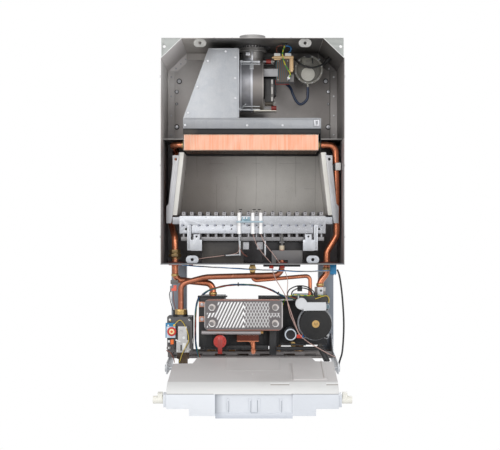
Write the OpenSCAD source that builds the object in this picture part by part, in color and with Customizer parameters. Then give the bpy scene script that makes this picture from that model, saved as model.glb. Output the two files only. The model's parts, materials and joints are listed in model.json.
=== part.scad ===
// Wall-hung room-sealed combi boiler, opened for service.
// Origin: midway between the two wall fixing holes, on the wall. +X right, +Y to the wall, +Z up.

/* [Wall frame] */
// Distance between the two wall fixing holes
fixing_pitch = 427; // [420:1:436]
// Radius of a wall fixing hole
fixing_r = 3.5; // [2.5:0.5:4.5]
// Middle of a wall fixing hole to the end of its ear
ear_edge = 7; // [5.5:0.5:12]
// Height of the frame above the fixing holes
ear_top = 21; // [16:1:26]
// Width of a side rail
rail_w = 35; // [28:1:38]
// Distance between the outer faces of the rails
rail_span = 386; // [376:1:392]
// Wall to the back of the sealed chamber
stand_off = 45; // [40:1:60]
// Top of the rails below the fixing holes
rail_drop = 10; // [4:1:20]
// Height of the hydraulic bay below the chamber
bay_h = 222; // [216:1:240]
// Height of the bottom crossbar
bar_h = 16; // [12:1:20]
// Depth of the bottom crossbar in front of the rails
bar_d = 62; // [54:1:70]

/* [Sealed chamber] */
// Width of the chamber outside its sheets
chamber_w = 406; // [404:1:430]
// Height of the chamber
chamber_h = 500; // [498:1:540]
// Depth of the chamber from its back to its rim
chamber_d = 220; // [214:1:240]
// Top of the chamber below the fixing holes
chamber_drop = 22; // [22:1:34]
// Width of the cut corners at the top
chamfer_w = 46; // [40:1:50]
// Height of the cut corners at the top
chamfer_h = 44; // [38:1:48]
// Thickness of the casing sheets
sheet = 1.5; // [1:0.1:2]
// Width of the riveted flanges
flange_w = 16; // [10:1:18]
// Height of the dividing shelves below the chamber top
shelf_drop = 220; // [216:1:224]
// Width of a cover fixing tab
tab_w = 28; // [22:1:34]
// Height of a cover fixing tab
tab_h = 18; // [14:1:22]

/* [Flue and fan] */
// Outer radius of the flue spigot
flue_r = 30; // [28:0.5:32]
// Radius of the air opening round the flue
air_r = 41; // [38:0.5:42]
// Flue axis in front of the wall
flue_y = 130; // [126:1:134]
// Height of the flue spigot above the chamber
flue_up = 25; // [15:1:35]
// Radius of the fan housing
fan_r = 59; // [56:0.5:60]
// Width of the fan housing along its shaft
fan_w = 54; // [48:1:56]
// Fan axis below the fixing holes
fan_drop = 112; // [110:1:114]
// Radius of the fan wheel
wheel_r = 47; // [40:0.5:50]
// Number of blades in the fan wheel
wheel_blades = 24; // [12:1:32]
// Radius of the pressure switch
switch_r = 33; // [28:0.5:36]

/* [Flue hood and exchanger] */
// Front face of the hood behind the rim of the chamber
hood_inset = 50; // [45:1:55]
// Width of the hood foot and of the exchanger casing
hood_w = 310; // [308:1:314]
// Width of the hood at its top
hood_top_w = 67; // [60:1:70]
// Height of the hood foot
hood_foot_h = 23.5; // [20:0.5:28]
// Width of the copper fin block
fin_w = 302; // [290:1:303]
// Height of the copper fin block
fin_h = 36; // [30:1:40]
// Depth of the copper fin block
fin_d = 140; // [120:1:142]

/* [Combustion chamber] */
// Inside width at the top
fire_top_w = 308; // [300:1:312]
// Inside width at the bottom
fire_low_w = 340; // [330:1:344]
// Height of the insulated space
fire_h = 142; // [130:1:144]
// Depth of the insulated space
fire_d = 130; // [110:1:132]
// Thickness of an insulation board
board_t = 10; // [8:0.5:11]

/* [Burner] */
// Number of burner blades
blades = 18; // [8:1:18]
// Distance between two blades
blade_pitch = 18.2; // [12:0.1:18.5]
// Height of the burner front plate
burner_plate_h = 39; // [34:1:42]
// Width of the burner front plate
burner_w = 327; // [322:1:330]
// Radius of an electrode ceramic
ceramic_r = 4; // [3:0.5:4.5]

/* [Pipes] */
// Outer radius of the water pipes
pipe_r = 7.5; // [6:0.5:8]
// Outer radius of the gas pipe
gas_pipe_r = 6.5; // [5:0.5:7.5]
// Outer radius of the small pipe
thin_pipe_r = 4.5; // [3:0.5:5]
// Bend radius of the pipes at their middle
pipe_bend = 20; // [16:1:22]
// Radius of the connection tails for heating
tail_r = 10.5; // [8:0.5:12]
// Length of a connection tail below the crossbar
tail_len = 30; // [20:1:40]

/* [Hydraulic group] */
// Width of the plate exchanger
plate_w = 175; // [150:1:178]
// Height of the plate exchanger
plate_h = 69; // [60:1:74]
// Depth of the plate exchanger
plate_d = 32; // [24:1:36]
// Radius of the pump motor
pump_r = 35.5; // [30:0.5:36]
// Length of the pump motor in front of its flange
pump_len = 38; // [30:1:40]
// Height of the moulded water block
block_h = 112; // [100:1:116]
// Radius of the relief valve cap
relief_r = 14.2; // [11:0.2:15]

/* [Gas valve] */
// Width of the gas valve body
valve_w = 56; // [48:1:60]
// Height of the gas valve body
valve_h = 79; // [70:1:82]
// Depth of the gas valve body
valve_d = 70; // [50:1:76]
// Radius of the round regulator
regulator_r = 10; // [7:0.5:11]

/* [Control box] */
// Width of the control box
box_w = 353; // [340:1:356]
// Length of the control box from the hinge edge to its end
box_len = 205; // [190:1:208]
// Thickness of the control box
box_t = 55; // [50:1:60]
// Thickness of the plastic walls
wall_t = 2.5; // [2:0.1:3]
// Hinge axis below the rear cover
axis_in = 23; // [20:0.5:26]
// Tilt of the open box below level
open_tilt = 11.2; // [5:0.1:15]
// Radius of a hinge pin
hinge_r = 4; // [3:0.1:5]
// Radius of a rotary knob
knob_r = 19; // [15:0.5:21]
// Radius of the pressure gauge
gauge_r = 20; // [16:0.5:22]

/* [Hidden] */

gap = 0.3;
run_gap = 0.05;

rail_x = rail_span / 2;
back_y = -stand_off;
rim_y = back_y - chamber_d;
inner_y = back_y - sheet;
half_w = chamber_w / 2;
in_x = half_w - sheet;
top_z = -chamber_drop;
base_z = top_z - chamber_h;
floor_z = base_z + sheet;
bay_z = base_z - bay_h;
shelf_z = top_z - shelf_drop;
frame_w = fixing_pitch + 2 * ear_edge;

hinge_y = rim_y;
hinge_z = bay_z - 6;
// Nothing in the bay stands in front of this plane, where the closed box comes to
bay_y = hinge_y + axis_in + 7;

fan_z = -fan_drop;
hood_y = rim_y + hood_inset;
hood_foot_z = -194;
hood_top_z = -37;
hood_side_x = -31.4;
casing_z = hood_foot_z - hood_foot_h;
casing_low = casing_z - 50.5;
fin_z = casing_z - 31;
fin_y = hood_y + 1.5;
fire_z = casing_low - 2;
fire_low_z = fire_z - fire_h;
fire_y = hood_y + 10;
fire_back_y = fire_y + fire_d;
blade_top = fire_low_z + 4;
blade_low = blade_top - 61;
burner_y = hood_y - 7;
burner_z = fire_low_z - 21.5;
pipe_y = bay_y + 45;
left_x = -(half_w - 27.5);
right_x = half_w - 35;
gas_y = bay_y + 23;
gas_x = -161;

// The hydraulic group stands on the bottom crossbar
block_low = bay_z + 35;
block_top = block_low + block_h;
deck_z = block_top + 3;
block_front = bay_y + plate_d + gap;
plate_x = -20;
plate_z = block_top - 38;
plate_y = bay_y;
relief_x = -72.7;
relief_z = block_low + 14.4;
pump_x = 141;
pump_z = block_top - 58;
pump_face = bay_y + 1;
valve_x = -163.2;
valve_low = bay_z + 25;
valve_top = valve_low + valve_h;
valve_y = bay_y + 13;

box_x = box_w / 2;

// A unit vector along v
function unit(v) = v / norm(v);
// The part of v that is square to the unit vector t
function square_to(t, v) = unit(v - t * (v * t));
// Points i-1 to i+2 of a route joined by a smooth curve, at fraction t
function smooth_point(p, i, t) =
    let (m = len(p) - 1, a = p[max(i - 1, 0)], b = p[i], c = p[i + 1], d = p[min(i + 2, m)])
    0.5 * (2 * b + (c - a) * t + (2 * a - 5 * b + 4 * c - d) * t * t
        + (3 * b - a - 3 * c + d) * t * t * t);
// A smooth route with n steps between its chosen points
function smooth_route(p, n) =
    concat([for (i = [0:len(p) - 2]) for (k = [0:n - 1]) smooth_point(p, i, k / n)],
        [p[len(p) - 1]]);

// A block between two corners
module slab(x0, x1, y0, y1, z0, z1) {
    translate([x0, y0, z0]) cube([x1 - x0, y1 - y0, z1 - z0]);
}

// Round bars along each axis, from the first coordinate to the second
module bar_x(x0, x1, y, z, r) {
    translate([x0, y, z]) rotate([0, 90, 0]) cylinder(h = x1 - x0, r = r, $fn = 48);
}
module bar_y(x, y0, y1, z, r) {
    translate([x, y1, z]) rotate([90, 0, 0]) cylinder(h = y1 - y0, r = r, $fn = 48);
}
module bar_z(x, y, z0, z1, r) {
    translate([x, y, z0]) cylinder(h = z1 - z0, r = r, $fn = 48);
}

// A plate of an X-Z outline, from y0 towards the wall to y1
module plate_xz(outline, y0, y1) {
    translate([0, y1, 0]) rotate([90, 0, 0]) linear_extrude(y1 - y0) polygon(outline);
}

// A plate of a Y-Z outline, from x0 to x1
module plate_yz(outline, x0, x1) {
    translate([x0, 0, 0]) rotate([90, 0, 90]) linear_extrude(x1 - x0) polygon(outline);
}

// Points of a route with straight runs and round bends through the given corners
function bent_route(p, bend) =
    let (m = len(p) - 1, dirs = [for (i = [0:m - 1]) unit(p[i + 1] - p[i])])
    concat([p[0]], [for (i = [1:m - 1])
        let (u = dirs[i - 1], turn = acos(min(1, u * dirs[i])), n = square_to(u, dirs[i]),
            c = p[i] - u * bend * tan(turn / 2) + n * bend, steps = ceil(turn / 15))
        for (k = [0:steps]) c + bend * (u * sin(turn * k / steps) - n * cos(turn * k / steps))],
        [p[m]]);

// A round tube swept along the points q, with one ring at each point
module tube(q, r, sides) {
    m = len(q);
    t = [for (i = [0:m - 1]) unit(q[min(i + 1, m - 1)] - q[max(i - 1, 0)])];
    first = abs(t[0].z) < 0.9 ? [0, 0, 1] : [1, 0, 0];
    side = [for (i = 0, v = square_to(t[0], first); i < m;
        i = i + 1, v = i < m ? square_to(t[i], v) : v) v];
    ring = [for (i = [0:m - 1]) for (k = [0:sides - 1]) let (a = 360 * k / sides)
        q[i] + r * (cos(a) * side[i] + sin(a) * cross(t[i], side[i]))];
    ends = [[for (k = [sides - 1:-1:0]) (m - 1) * sides + k], [for (k = [0:sides - 1]) k]];
    walls = [for (i = [0:m - 2]) for (k = [0:sides - 1])
        let (a = i * sides + k, b = i * sides + (k + 1) % sides)
        each [[a, b + sides, b], [a, a + sides, b + sides]]];
    polyhedron(ring, concat(ends, walls), convexity = 6);
}

// A pipe through the given corner points, bent with one radius
module pipe_run(p, r, bend) {
    tube(bent_route(p, bend), r, 16);
}

// A wire or hose along a route chosen by hand
module wire(p, r, steps = 4, sides = 8) {
    tube(smooth_route(p, steps), r, sides);
}

// A pan-head screw whose head stands in front of y
module screw_y(x, y, z, r) {
    bar_y(x, y - r * 0.6, y, z, r);
}

// Pressed channel rail behind the chamber, open to the wall
module rail() {
    color("slategray") difference() {
        slab(rail_x - rail_w, rail_x, back_y, -2, bay_z, -rail_drop);
        slab(rail_x - rail_w + 2, rail_x - 2, back_y + 2, -1, bay_z - 1, 1 - rail_drop);
    }
}
module frame_rail_left() {
    mirror([1, 0, 0]) rail();
}
module frame_rail_right() {
    rail();
}

// Flat top plate with the wall fixing ears
module frame_top_plate() {
    color("lightsteelblue") difference() {
        slab(-frame_w / 2, frame_w / 2, -2, 0, -62, ear_top);
        for (side = [-1, 1]) bar_y(side * fixing_pitch / 2, -3, 1, 0, fixing_r);
    }
}

arm_x = rail_x - 6.5;
arm_t = 3;
bar_front = back_y - bar_d;
bar_top = bay_z + bar_h;
tail_y = back_y - bar_d / 2;
tails = [[-97, tail_r], [-48, 7.5], [1.8, 7.5], [60, 7.5], [110, tail_r]];

// Slotted channel that carries the connection tails
module frame_bottom_bar() {
    color("dimgray") difference() {
        slab(-arm_x, arm_x, bar_front, back_y, bay_z, bar_top);
        slab(-arm_x - 1, arm_x + 1, bar_front + sheet, back_y - sheet, bay_z + sheet, bar_top + 1);
        for (x = [-130, -75, -22, 30, 86, 135])
            slab(x - 13, x + 13, bar_front - 1, bar_front + sheet + 1, bay_z + 5, bar_top - 5);
        for (t = tails) bar_z(t[0], tail_y, bay_z - 1, bay_z + sheet + 1, t[1] + gap);
    }
}

corner_z = top_z - chamfer_h;
corner_x = half_w - chamfer_w;
corner_len = norm([chamfer_w, chamfer_h]);
corner_tx = sheet * corner_len / chamfer_h;
corner_tz = sheet * corner_len / chamfer_w;

module chamber_back() {
    color("darkgray") plate_xz([[-half_w, base_z], [half_w, base_z], [half_w, corner_z],
        [corner_x, top_z], [-corner_x, top_z], [-half_w, corner_z]], inner_y, back_y);
}

// Side sheet with the flange that is riveted to the back
module chamber_side() {
    color("darkgray") {
        slab(in_x, half_w, rim_y, inner_y, floor_z, corner_z);
        slab(in_x - flange_w, in_x, inner_y - sheet, inner_y, floor_z, corner_z);
    }
}
module chamber_left() {
    mirror([1, 0, 0]) chamber_side();
}
module chamber_right() {
    chamber_side();
}

// Top sheet with the air opening round the flue
module chamber_top() {
    color("darkgray") difference() {
        union() {
            slab(-corner_x, corner_x, rim_y, inner_y, top_z - sheet, top_z);
            slab(-corner_x, corner_x, inner_y - sheet, inner_y, top_z - sheet - flange_w, top_z);
        }
        bar_z(0, -flue_y, top_z - sheet - 1, top_z + 1, air_r);
    }
}

gas_up_x = 66;
floor_holes = [[left_x, pipe_y, pipe_r], [right_x, pipe_y, pipe_r], [gas_up_x, gas_y, gas_pipe_r]];

// Floor sheet with a small front lip and the pipe holes
module chamber_bottom() {
    color("dimgray") difference() {
        union() {
            slab(-half_w, half_w, rim_y, inner_y, base_z, floor_z);
            slab(-in_x, in_x, rim_y, rim_y + sheet, base_z, floor_z + 2);
        }
        for (h = floor_holes) bar_z(h[0], h[1], base_z - 1, floor_z + 1, h[2] + 3);
    }
}

// Slanted top corners with their riveted flanges
module chamber_corners() {
    for (side = [0, 1]) mirror([side, 0, 0]) color("darkgray") {
        plate_xz([[half_w, corner_z], [corner_x, top_z], [corner_x, top_z - corner_tz],
            [half_w - corner_tx, corner_z]], rim_y, inner_y);
        plate_xz([[half_w - corner_tx, corner_z], [corner_x, top_z - corner_tz],
            [corner_x, top_z - corner_tz - flange_w * 1.4],
            [half_w - corner_tx - flange_w * 1.4, corner_z]], inner_y - sheet, inner_y);
    }
}

// Ledges between the side sheets and the exchanger casing
module chamber_shelves() {
    color("silver") {
        slab(-in_x, -hood_w / 2 - 1, hood_y, inner_y - sheet, shelf_z, shelf_z + sheet);
        slab(hood_w / 2 - 1, in_x, hood_y, inner_y - sheet, shelf_z, shelf_z + sheet);
    }
}

tab_y = rim_y + 3;
tab_top_x = 116;
tab_low_x = 133;

// An oval tab with a screw hole and a foot welded to the sheet at height foot
module cover_tab(x, z, foot) {
    r = tab_h / 2;
    color("gainsboro") difference() {
        union() {
            slab(x - tab_w / 2 + r, x + tab_w / 2 - r, tab_y, tab_y + 2, z - r, z + r);
            for (s = [-1, 1]) bar_y(x + s * (tab_w / 2 - r), tab_y, tab_y + 2, z, r);
            slab(x - 8, x + 8, tab_y, tab_y + 2, min(z, foot), max(z, foot));
            slab(x - 8, x + 8, tab_y, tab_y + 14, min(foot, foot + sign(z - foot) * 1.5),
                max(foot, foot + sign(z - foot) * 1.5));
        }
        bar_y(x, tab_y - 1, tab_y + 3, z, 3.5);
    }
}
module cover_tabs() {
    for (s = [-1, 1]) {
        cover_tab(s * tab_top_x, top_z - sheet - tab_h / 2 - 0.5, top_z - sheet);
        cover_tab(s * tab_low_x, floor_z + tab_h / 2 + 0.5, floor_z);
    }
}

flange_y = inner_y - sheet;
screw_x = in_x - flange_w - 5;

// Screws and rivets of the chamber sheets
module chamber_rivets() {
    color("lightgray") for (s = [-1, 1]) {
        screw_y(s * (screw_x - 6), inner_y, top_z - 68, 4.5);
        screw_y(s * screw_x, inner_y, top_z - 93, 3.5);
        screw_y(s * screw_x, inner_y, top_z - 122, 2);
        screw_y(s * screw_x, inner_y, top_z - 177, 4.5);
        for (z = [corner_z - 14, corner_z - 60, corner_z - 106, corner_z - 152])
            screw_y(s * (in_x - flange_w / 2), flange_y, z, 2);
        for (k = [0.25, 0.5, 0.75])
            screw_y(s * (half_w - corner_tx - 7 - chamfer_w * k), flange_y,
                corner_z - 5 + chamfer_h * k, 2);
        for (x = [45, 85]) bar_z(s * x, rim_y + 8, top_z, top_z + 1.5, 3);
        for (z = [corner_z - 40, shelf_z - 60, floor_z + 60])
            if (s > 0) bar_x(half_w, half_w + 1.5, rim_y + 10, z, 3);
            else bar_x(-half_w - 1.5, -half_w, rim_y + 10, z, 3);
    }
}

// Flat expansion vessel between the chamber and the wall
module expansion_vessel() {
    w = 230;
    h = 400;
    color("firebrick") {
        translate([0, back_y + 38, base_z + 32 + h / 2]) rotate([90, 0, 0])
            linear_extrude(38) offset(r = 40, $fn = 48) square([w - 80, h - 80], center = true);
        bar_z(60, back_y + 19, base_z + 12, base_z + 32, 7);
    }
}

flue_low = top_z - 10;
module flue_spigot() {
    color("silver") difference() {
        bar_z(0, -flue_y, flue_low, top_z + flue_up, flue_r);
        bar_z(0, -flue_y, flue_low - 1, top_z + flue_up + 1, flue_r - 2);
    }
}

hood_in = hood_y + sheet;
hood_back = fin_y + fin_d + 5.5;
hood_l = -hood_w / 2 - 1;
hood_r = hood_w / 2 - 1;
hood_tl = hood_side_x - hood_top_w;
hood_outline = [[hood_tl, hood_top_z], [hood_side_x, hood_top_z], [hood_side_x, hood_foot_z],
    [hood_r, hood_foot_z], [hood_r, casing_z], [hood_l, casing_z], [hood_l, hood_foot_z]];

// Riveted collector above the exchanger; its side opens into the fan
module flue_hood() {
    color("gainsboro") {
        plate_xz(hood_outline, hood_y, hood_in);
        plate_xz(hood_outline, hood_back, hood_back + sheet);
        slab(hood_tl, hood_side_x, hood_in, hood_back, hood_top_z - sheet, hood_top_z);
        plate_xz([[hood_tl, hood_top_z - sheet], [hood_tl + 2, hood_top_z - sheet],
            [hood_l + 2, hood_foot_z], [hood_l, hood_foot_z]], hood_in, hood_back);
        slab(hood_l, hood_l + sheet, hood_in, hood_back, casing_z, hood_foot_z);
        slab(hood_r - sheet, hood_r, hood_in, hood_back, casing_z, hood_foot_z - sheet);
        slab(hood_side_x, hood_r, hood_in, hood_back, hood_foot_z - sheet, hood_foot_z);
        difference() {
            slab(hood_side_x - sheet, hood_side_x, hood_in, hood_back,
                hood_foot_z - sheet, hood_top_z - sheet);
            bar_x(hood_side_x - 3, hood_side_x + 1, -flue_y, fan_z, flue_r + 1);
        }
    }
}

hood_screw_places = [[-100, -66], [-123, -124.5], [-144, -182.5], [-151, -210], [-60, -44.5],
    [-38, -58], [-39, -104.5], [-38.5, -149.5], [-12, -210.5], [67.5, -210.5]];
module hood_screws() {
    color("silver") for (p = hood_screw_places) screw_y(p[0], hood_y, p[1], 2.6);
    color("silver") difference() {
        slab(138, 150, hood_y - 3, hood_y, -212, -198);
        slab(142, 146, hood_y - 4, hood_y + 1, -209, -201);
    }
}

fan_l = -29;
fan_right = fan_l + fan_w;
fan_y = -flue_y;
shaft_r = 4;

// Cast fan housing with its inlet collar, its outlet neck and the split flange
module fan_housing() {
    color("gray") difference() {
        union() {
            bar_x(fan_l, fan_right, fan_y, fan_z, fan_r);
            bar_x(fan_l / 2 + fan_right / 2 - 2, fan_l / 2 + fan_right / 2 + 2, fan_y, fan_z, fan_r + 2);
            bar_x(hood_side_x, fan_l + 1, fan_y, fan_z, flue_r + 4);
            bar_z(0, fan_y, fan_z + 20, flue_low, flue_r - 5.5);
            bar_z(0, fan_y, flue_low - 3, flue_low, flue_r + 3);
        }
        bar_x(fan_l + 3, fan_right - 3, fan_y, fan_z, fan_r - 4);
        bar_x(hood_side_x - 1, fan_l + 4, fan_y, fan_z, flue_r);
        bar_z(0, fan_y, fan_z, flue_low + 1, flue_r - 7.5);
        bar_x(fan_right - 4, fan_right + 1, fan_y, fan_z, shaft_r + run_gap);
    }
}

// Drum wheel on its shaft, with the motor rotor
module fan_wheel() {
    disc_x = fan_right - 9;
    color("silver") {
        bar_x(disc_x, disc_x + 3, fan_y, fan_z, wheel_r);
        bar_x(disc_x - 10, fan_right + 28, fan_y, fan_z, shaft_r);
        bar_x(fan_right + 8, fan_right + 20, fan_y, fan_z, 16);
        difference() {
            bar_x(fan_l + 7, fan_l + 9, fan_y, fan_z, wheel_r);
            bar_x(fan_l + 6, fan_l + 10, fan_y, fan_z, wheel_r - 10);
        }
        for (i = [0:wheel_blades - 1]) translate([0, fan_y, fan_z])
            rotate([360 * i / wheel_blades, 0, 0])
            slab(fan_l + 8, disc_x + 1, -0.8, 0.8, wheel_r - 9, wheel_r - 0.5);
    }
}

can_end = fan_right + 25;
core_x = can_end + 4.5;
core_top = fan_z + 59;
core_low = fan_z + 6;
core_y = fan_y - 30;

// Motor can, its bridge and the stack of iron sheets that the coil sits on
module fan_motor() {
    color("dimgray") difference() {
        union() {
            bar_x(fan_right, can_end, fan_y, fan_z, 30);
            slab(can_end, core_x, fan_y - 22, fan_y + 22, fan_z - 24, core_top - 8);
        }
        bar_x(fan_right + 5, can_end - 3, fan_y, fan_z, 19);
        bar_x(fan_right - 1, core_x + 1, fan_y, fan_z, shaft_r + run_gap);
    }
    color("gray") slab(core_x, core_x + 30, core_y, fan_y + 22, core_low, core_top);
}

// Coil former with its two plug housings
module fan_coil() {
    color("burlywood") {
        slab(core_x - 6, core_x + 39, core_y - 4, fan_y + 26, core_top, core_top + 6);
        slab(core_x + 30, core_x + 39, core_y - 4, fan_y + 26, core_top - 27, core_top);
    }
    color("white") for (x = [core_x - 5, core_x + 20])
        slab(x, x + 14, core_y - 4, core_y + 12, core_top + 6, core_top + 12.5);
}

// Bracket tab, rubber mounts and foot of the fan motor
module fan_mounts() {
    color("silver") {
        slab(fan_right, fan_right + 33, core_y - 3, core_y, fan_z + 18, fan_z + 36);
        slab(3, fan_right + 30, fan_y - 40, fan_y - 10, fan_z - fan_r - 3, fan_z - fan_r);
        bar_x(fan_right, fan_right + 6, fan_y - 20, fan_z + 54, 2.5);
        bar_x(fan_right, fan_right + 18, fan_y - 20, fan_z - 53, 2.5);
    }
    color("firebrick") {
        bar_x(fan_right + 6, fan_right + 18, fan_y - 20, fan_z + 54, 5.5);
        bar_x(fan_right + 18, fan_right + 30, fan_y - 20, fan_z - 53, 5.5);
    }
}

switch_x = 131;
switch_z = top_z - 49;
switch_y = -110;

// Air pressure switch with its blank label cap and hose nipple
module pressure_switch() {
    color("darkgray") {
        bar_y(switch_x, switch_y, switch_y + 12, switch_z, switch_r);
        bar_y(switch_x, switch_y + 12, switch_y + 30, switch_z, switch_r - 8);
        bar_y(switch_x, switch_y + 30, inner_y, switch_z, 12);
        bar_y(switch_x, switch_y - 3, switch_y, switch_z, switch_r - 7);
        bar_y(switch_x - 2, switch_y - 6, switch_y - 3, switch_z - 11.5, 16);
        bar_z(switch_x - 2, switch_y + 4, switch_z - switch_r - 7, switch_z - switch_r + 3, 1.8);
        slab(switch_x - 7, switch_x + 7, switch_y - 8, switch_y - 3, switch_z + 10, switch_z + 22);
    }
}

fin_mid = hood_l + 1.8 + fin_w / 2;
fin_mid_z = fin_z - (fin_h - 36) / 2;
port_z = fin_mid_z - 4;

// Copper fin block; the water pipes enter its ends
module heat_exchanger() {
    color("sandybrown") slab(fin_mid - fin_w / 2, fin_mid + fin_w / 2, fin_y, fin_y + fin_d,
        fin_mid_z - fin_h / 2, fin_mid_z + fin_h / 2);
}

// Black sheet casing round the fin block
module exchanger_casing() {
    color("dimgray") {
        for (side = [[hood_l, hood_l + sheet], [hood_r - sheet, hood_r]]) difference() {
            slab(side[0], side[1], hood_y + 1, hood_back + sheet, casing_low, casing_z);
            bar_x(side[0] - 1, side[1] + 1, pipe_y, port_z, pipe_r + gap);
        }
        slab(hood_l + sheet, hood_r - sheet, hood_back, hood_back + sheet, casing_low, casing_z);
        slab(hood_l + sheet, hood_r - sheet, hood_y + 2, hood_y + 3.5, casing_z - 12, casing_z);
        slab(hood_l + sheet, hood_r - sheet, fin_y + fin_d, hood_back,
            fin_mid_z - 10, fin_mid_z + 10);
    }
}

top_in = fire_top_w / 2;
low_in = fire_low_w / 2;
top_out = top_in + board_t;
low_out = low_in + board_t;
back_board = fire_back_y + board_t;

// Ceramic fibre boards that line the burning space
module fire_boards() {
    color("linen") {
        for (s = [0, 1]) mirror([s, 0, 0]) plate_xz([[top_in, fire_z], [top_out, fire_z],
            [low_out, fire_low_z], [low_in, fire_low_z]], fire_y, fire_back_y);
        plate_xz([[-top_out, fire_z], [top_out, fire_z], [low_out, fire_low_z],
            [-low_out, fire_low_z]], fire_back_y, back_board);
    }
}

// Steel shell behind and beside the boards, its back rails and its front brackets
module fire_shell() {
    steel = 1.5;
    color("silver") {
        plate_xz([[-top_out, fire_z], [top_out, fire_z], [low_out, fire_low_z],
            [-low_out, fire_low_z]], back_board, back_board + steel);
        for (s = [0, 1]) mirror([s, 0, 0]) {
            plate_xz([[top_out, fire_z], [top_out + steel, fire_z],
                [low_out + steel, fire_low_z], [low_out, fire_low_z]], fire_y, back_board);
            slab(70, 95, back_board + steel, inner_y, fire_low_z + 10, fire_z - 10);
            difference() {
                plate_xz([[top_out + 0.9, fire_z - 7], [top_out + 16, fire_z - 7],
                    [top_out + 16, fire_z - 27], [low_out + 9, fire_low_z + 26],
                    [low_out + 14, fire_low_z + 20], [low_out + 14, fire_low_z - 18],
                    [low_out + 3, fire_low_z - 18], [low_out, fire_low_z]],
                    fire_y - steel, fire_y);
                bar_y(top_out + 9, fire_y - 3, fire_y + 1, fire_z - 16, 3);
            }
        }
    }
}

rail_front = burner_y + sheet;
rail_back = rail_front + 8.5;
blade_back = rail_back + 111;
blade_x0 = -(blades - 1) * blade_pitch / 2;
plate_top = burner_z + burner_plate_h / 2;
plate_low = burner_z - burner_plate_h / 2;

// Row of burner blades with round tops and a bore for the gas jet
module burner_blades() {
    color("silver") for (i = [0:blades - 1]) {
        x = blade_x0 + i * blade_pitch;
        difference() {
            union() {
                slab(x - 4, x + 4, rail_back, blade_back, blade_low, blade_top + 1);
                bar_y(x, rail_back, blade_back, blade_top + 1, 4);
            }
            bar_y(x, rail_back - 1, rail_back + 30, burner_z - 1.5, 3);
        }
    }
}

// Punched front plate of the burner
module burner_front_plate() {
    color("lightsteelblue") difference() {
        slab(-burner_w / 2, burner_w / 2, burner_y, rail_front, plate_low, plate_top);
        for (i = [0:blades - 1])
            bar_y(blade_x0 + i * blade_pitch, burner_y - 1, rail_front + 1, burner_z - 1.5, 1.2);
        for (s = [-1, 1]) bar_y(s * 149, burner_y - 1, rail_front + 1, burner_z - 9, 2.2);
    }
}

// End frames, hooks, posts and baffles that hold the burner
module burner_brackets() {
    end_x = burner_w / 2 - 3;
    color("silver") {
        slab(-end_x + sheet, end_x - sheet, blade_back, blade_back + sheet, plate_low, plate_top);
        for (s = [0, 1]) mirror([s, 0, 0]) {
            slab(end_x - sheet, end_x, rail_front, blade_back + sheet, plate_low, plate_top);
            slab(end_x, low_out, fire_y - 1.5, fire_y, plate_top - 18, plate_top - 2);
            slab(138, 146, burner_y - 4, burner_y, plate_low - 38, burner_z - 1);
            difference() {
                union() {
                    slab(113, 138, burner_y - 4, burner_y - 2.5, plate_low - 39, plate_low - 14);
                    slab(118, 132, burner_y - 4, burner_y - 2.5, plate_low - 15, plate_low - 2);
                }
                bar_y(125, burner_y - 5, burner_y - 1, plate_low - 7, 2);
            }
        }
    }
    color("dimgray") slab(-114, -20, fire_y + 2, fire_y + 3.5, floor_z, plate_low - 18);
    color("gray") difference() {
        union() {
            slab(22, 113, fire_y + 2, fire_y + 3.5, floor_z, plate_low - 18);
            slab(43, 112, burner_y + 1.5, burner_y + 3, floor_z, plate_low - 38);
        }
        slab(gas_up_x - 13, gas_up_x + 13, burner_y - 1, fire_y + 5, floor_z - 1, floor_z + 8);
    }
    color("lightsteelblue") slab(-end_x, end_x, rail_back - 1.2, rail_back - 0.2, blade_low - 0.5,
        blade_low + 8);
    color("silver") for (x = [-21, 10]) slab(x, x + 13, fire_y + 0.5, fire_y + 2,
        plate_low - 36, plate_low - 19);
}

// Flat gas rail behind the front plate with one jet for each blade
module gas_rail() {
    color("silver") {
        slab(-burner_w / 2 + 5, burner_w / 2 - 5, rail_front, rail_back, plate_low + 2, plate_top - 2);
    }
    color("goldenrod") {
        for (i = [0:blades - 1])
            bar_y(blade_x0 + i * blade_pitch, rail_back, rail_back + 14, burner_z - 1.5, 2);
        bar_z(gas_up_x, (rail_front + rail_back) / 2, plate_low - 27, plate_low + 2, 3);
        bar_z(gas_up_x, gas_y, plate_low - 37, plate_low - 27, 6);
    }
}

electrode_y = burner_y - ceramic_r - gap;
electrode_x = [-29.8, 0.6, 18.4];

// Ignition and flame sensing electrodes with their clip
module electrodes() {
    color("white") for (x = electrode_x)
        bar_z(x, electrode_y, plate_low - 1, plate_top + 8, ceramic_r);
    color("gray") for (x = electrode_x) {
        bar_z(x, electrode_y, plate_top + 8, plate_top + 14, 1);
        bar_y(x, electrode_y, electrode_y + 22, plate_top + 14, 1);
    }
    color("lightsteelblue") {
        slab(-24, -5.6, burner_y - 1.5, burner_y, plate_top - 11, plate_top - 2);
        slab(-24, -18, electrode_y - ceramic_r - 1.8, burner_y - 1.5, plate_top - 11, plate_top - 8);
        slab(-36, 24, electrode_y - ceramic_r - 1.8, electrode_y - ceramic_r - gap,
            plate_top - 15, plate_top - 11);
    }
}

down_z = base_z - 30;
up_x = in_x - 11;
link_x = -89.5;
conn_x = right_x - 15;

// Pipe from the left end of the fin block down to the water block
module flow_pipe() {
    rear_y = fire_y + 90;
    color("peru") pipe_run([[fin_mid - fin_w / 2, pipe_y, port_z], [7.5 - up_x, pipe_y, port_z],
        [13.5 - up_x, rear_y, port_z - 6], [-up_x, rear_y, fire_low_z - 13],
        [left_x, pipe_y, burner_z - 29], [left_x, pipe_y, down_z - 6], [link_x, pipe_y, down_z - 14],
        [link_x, pipe_y, deck_z]], pipe_r, pipe_bend - 3);
}

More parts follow.
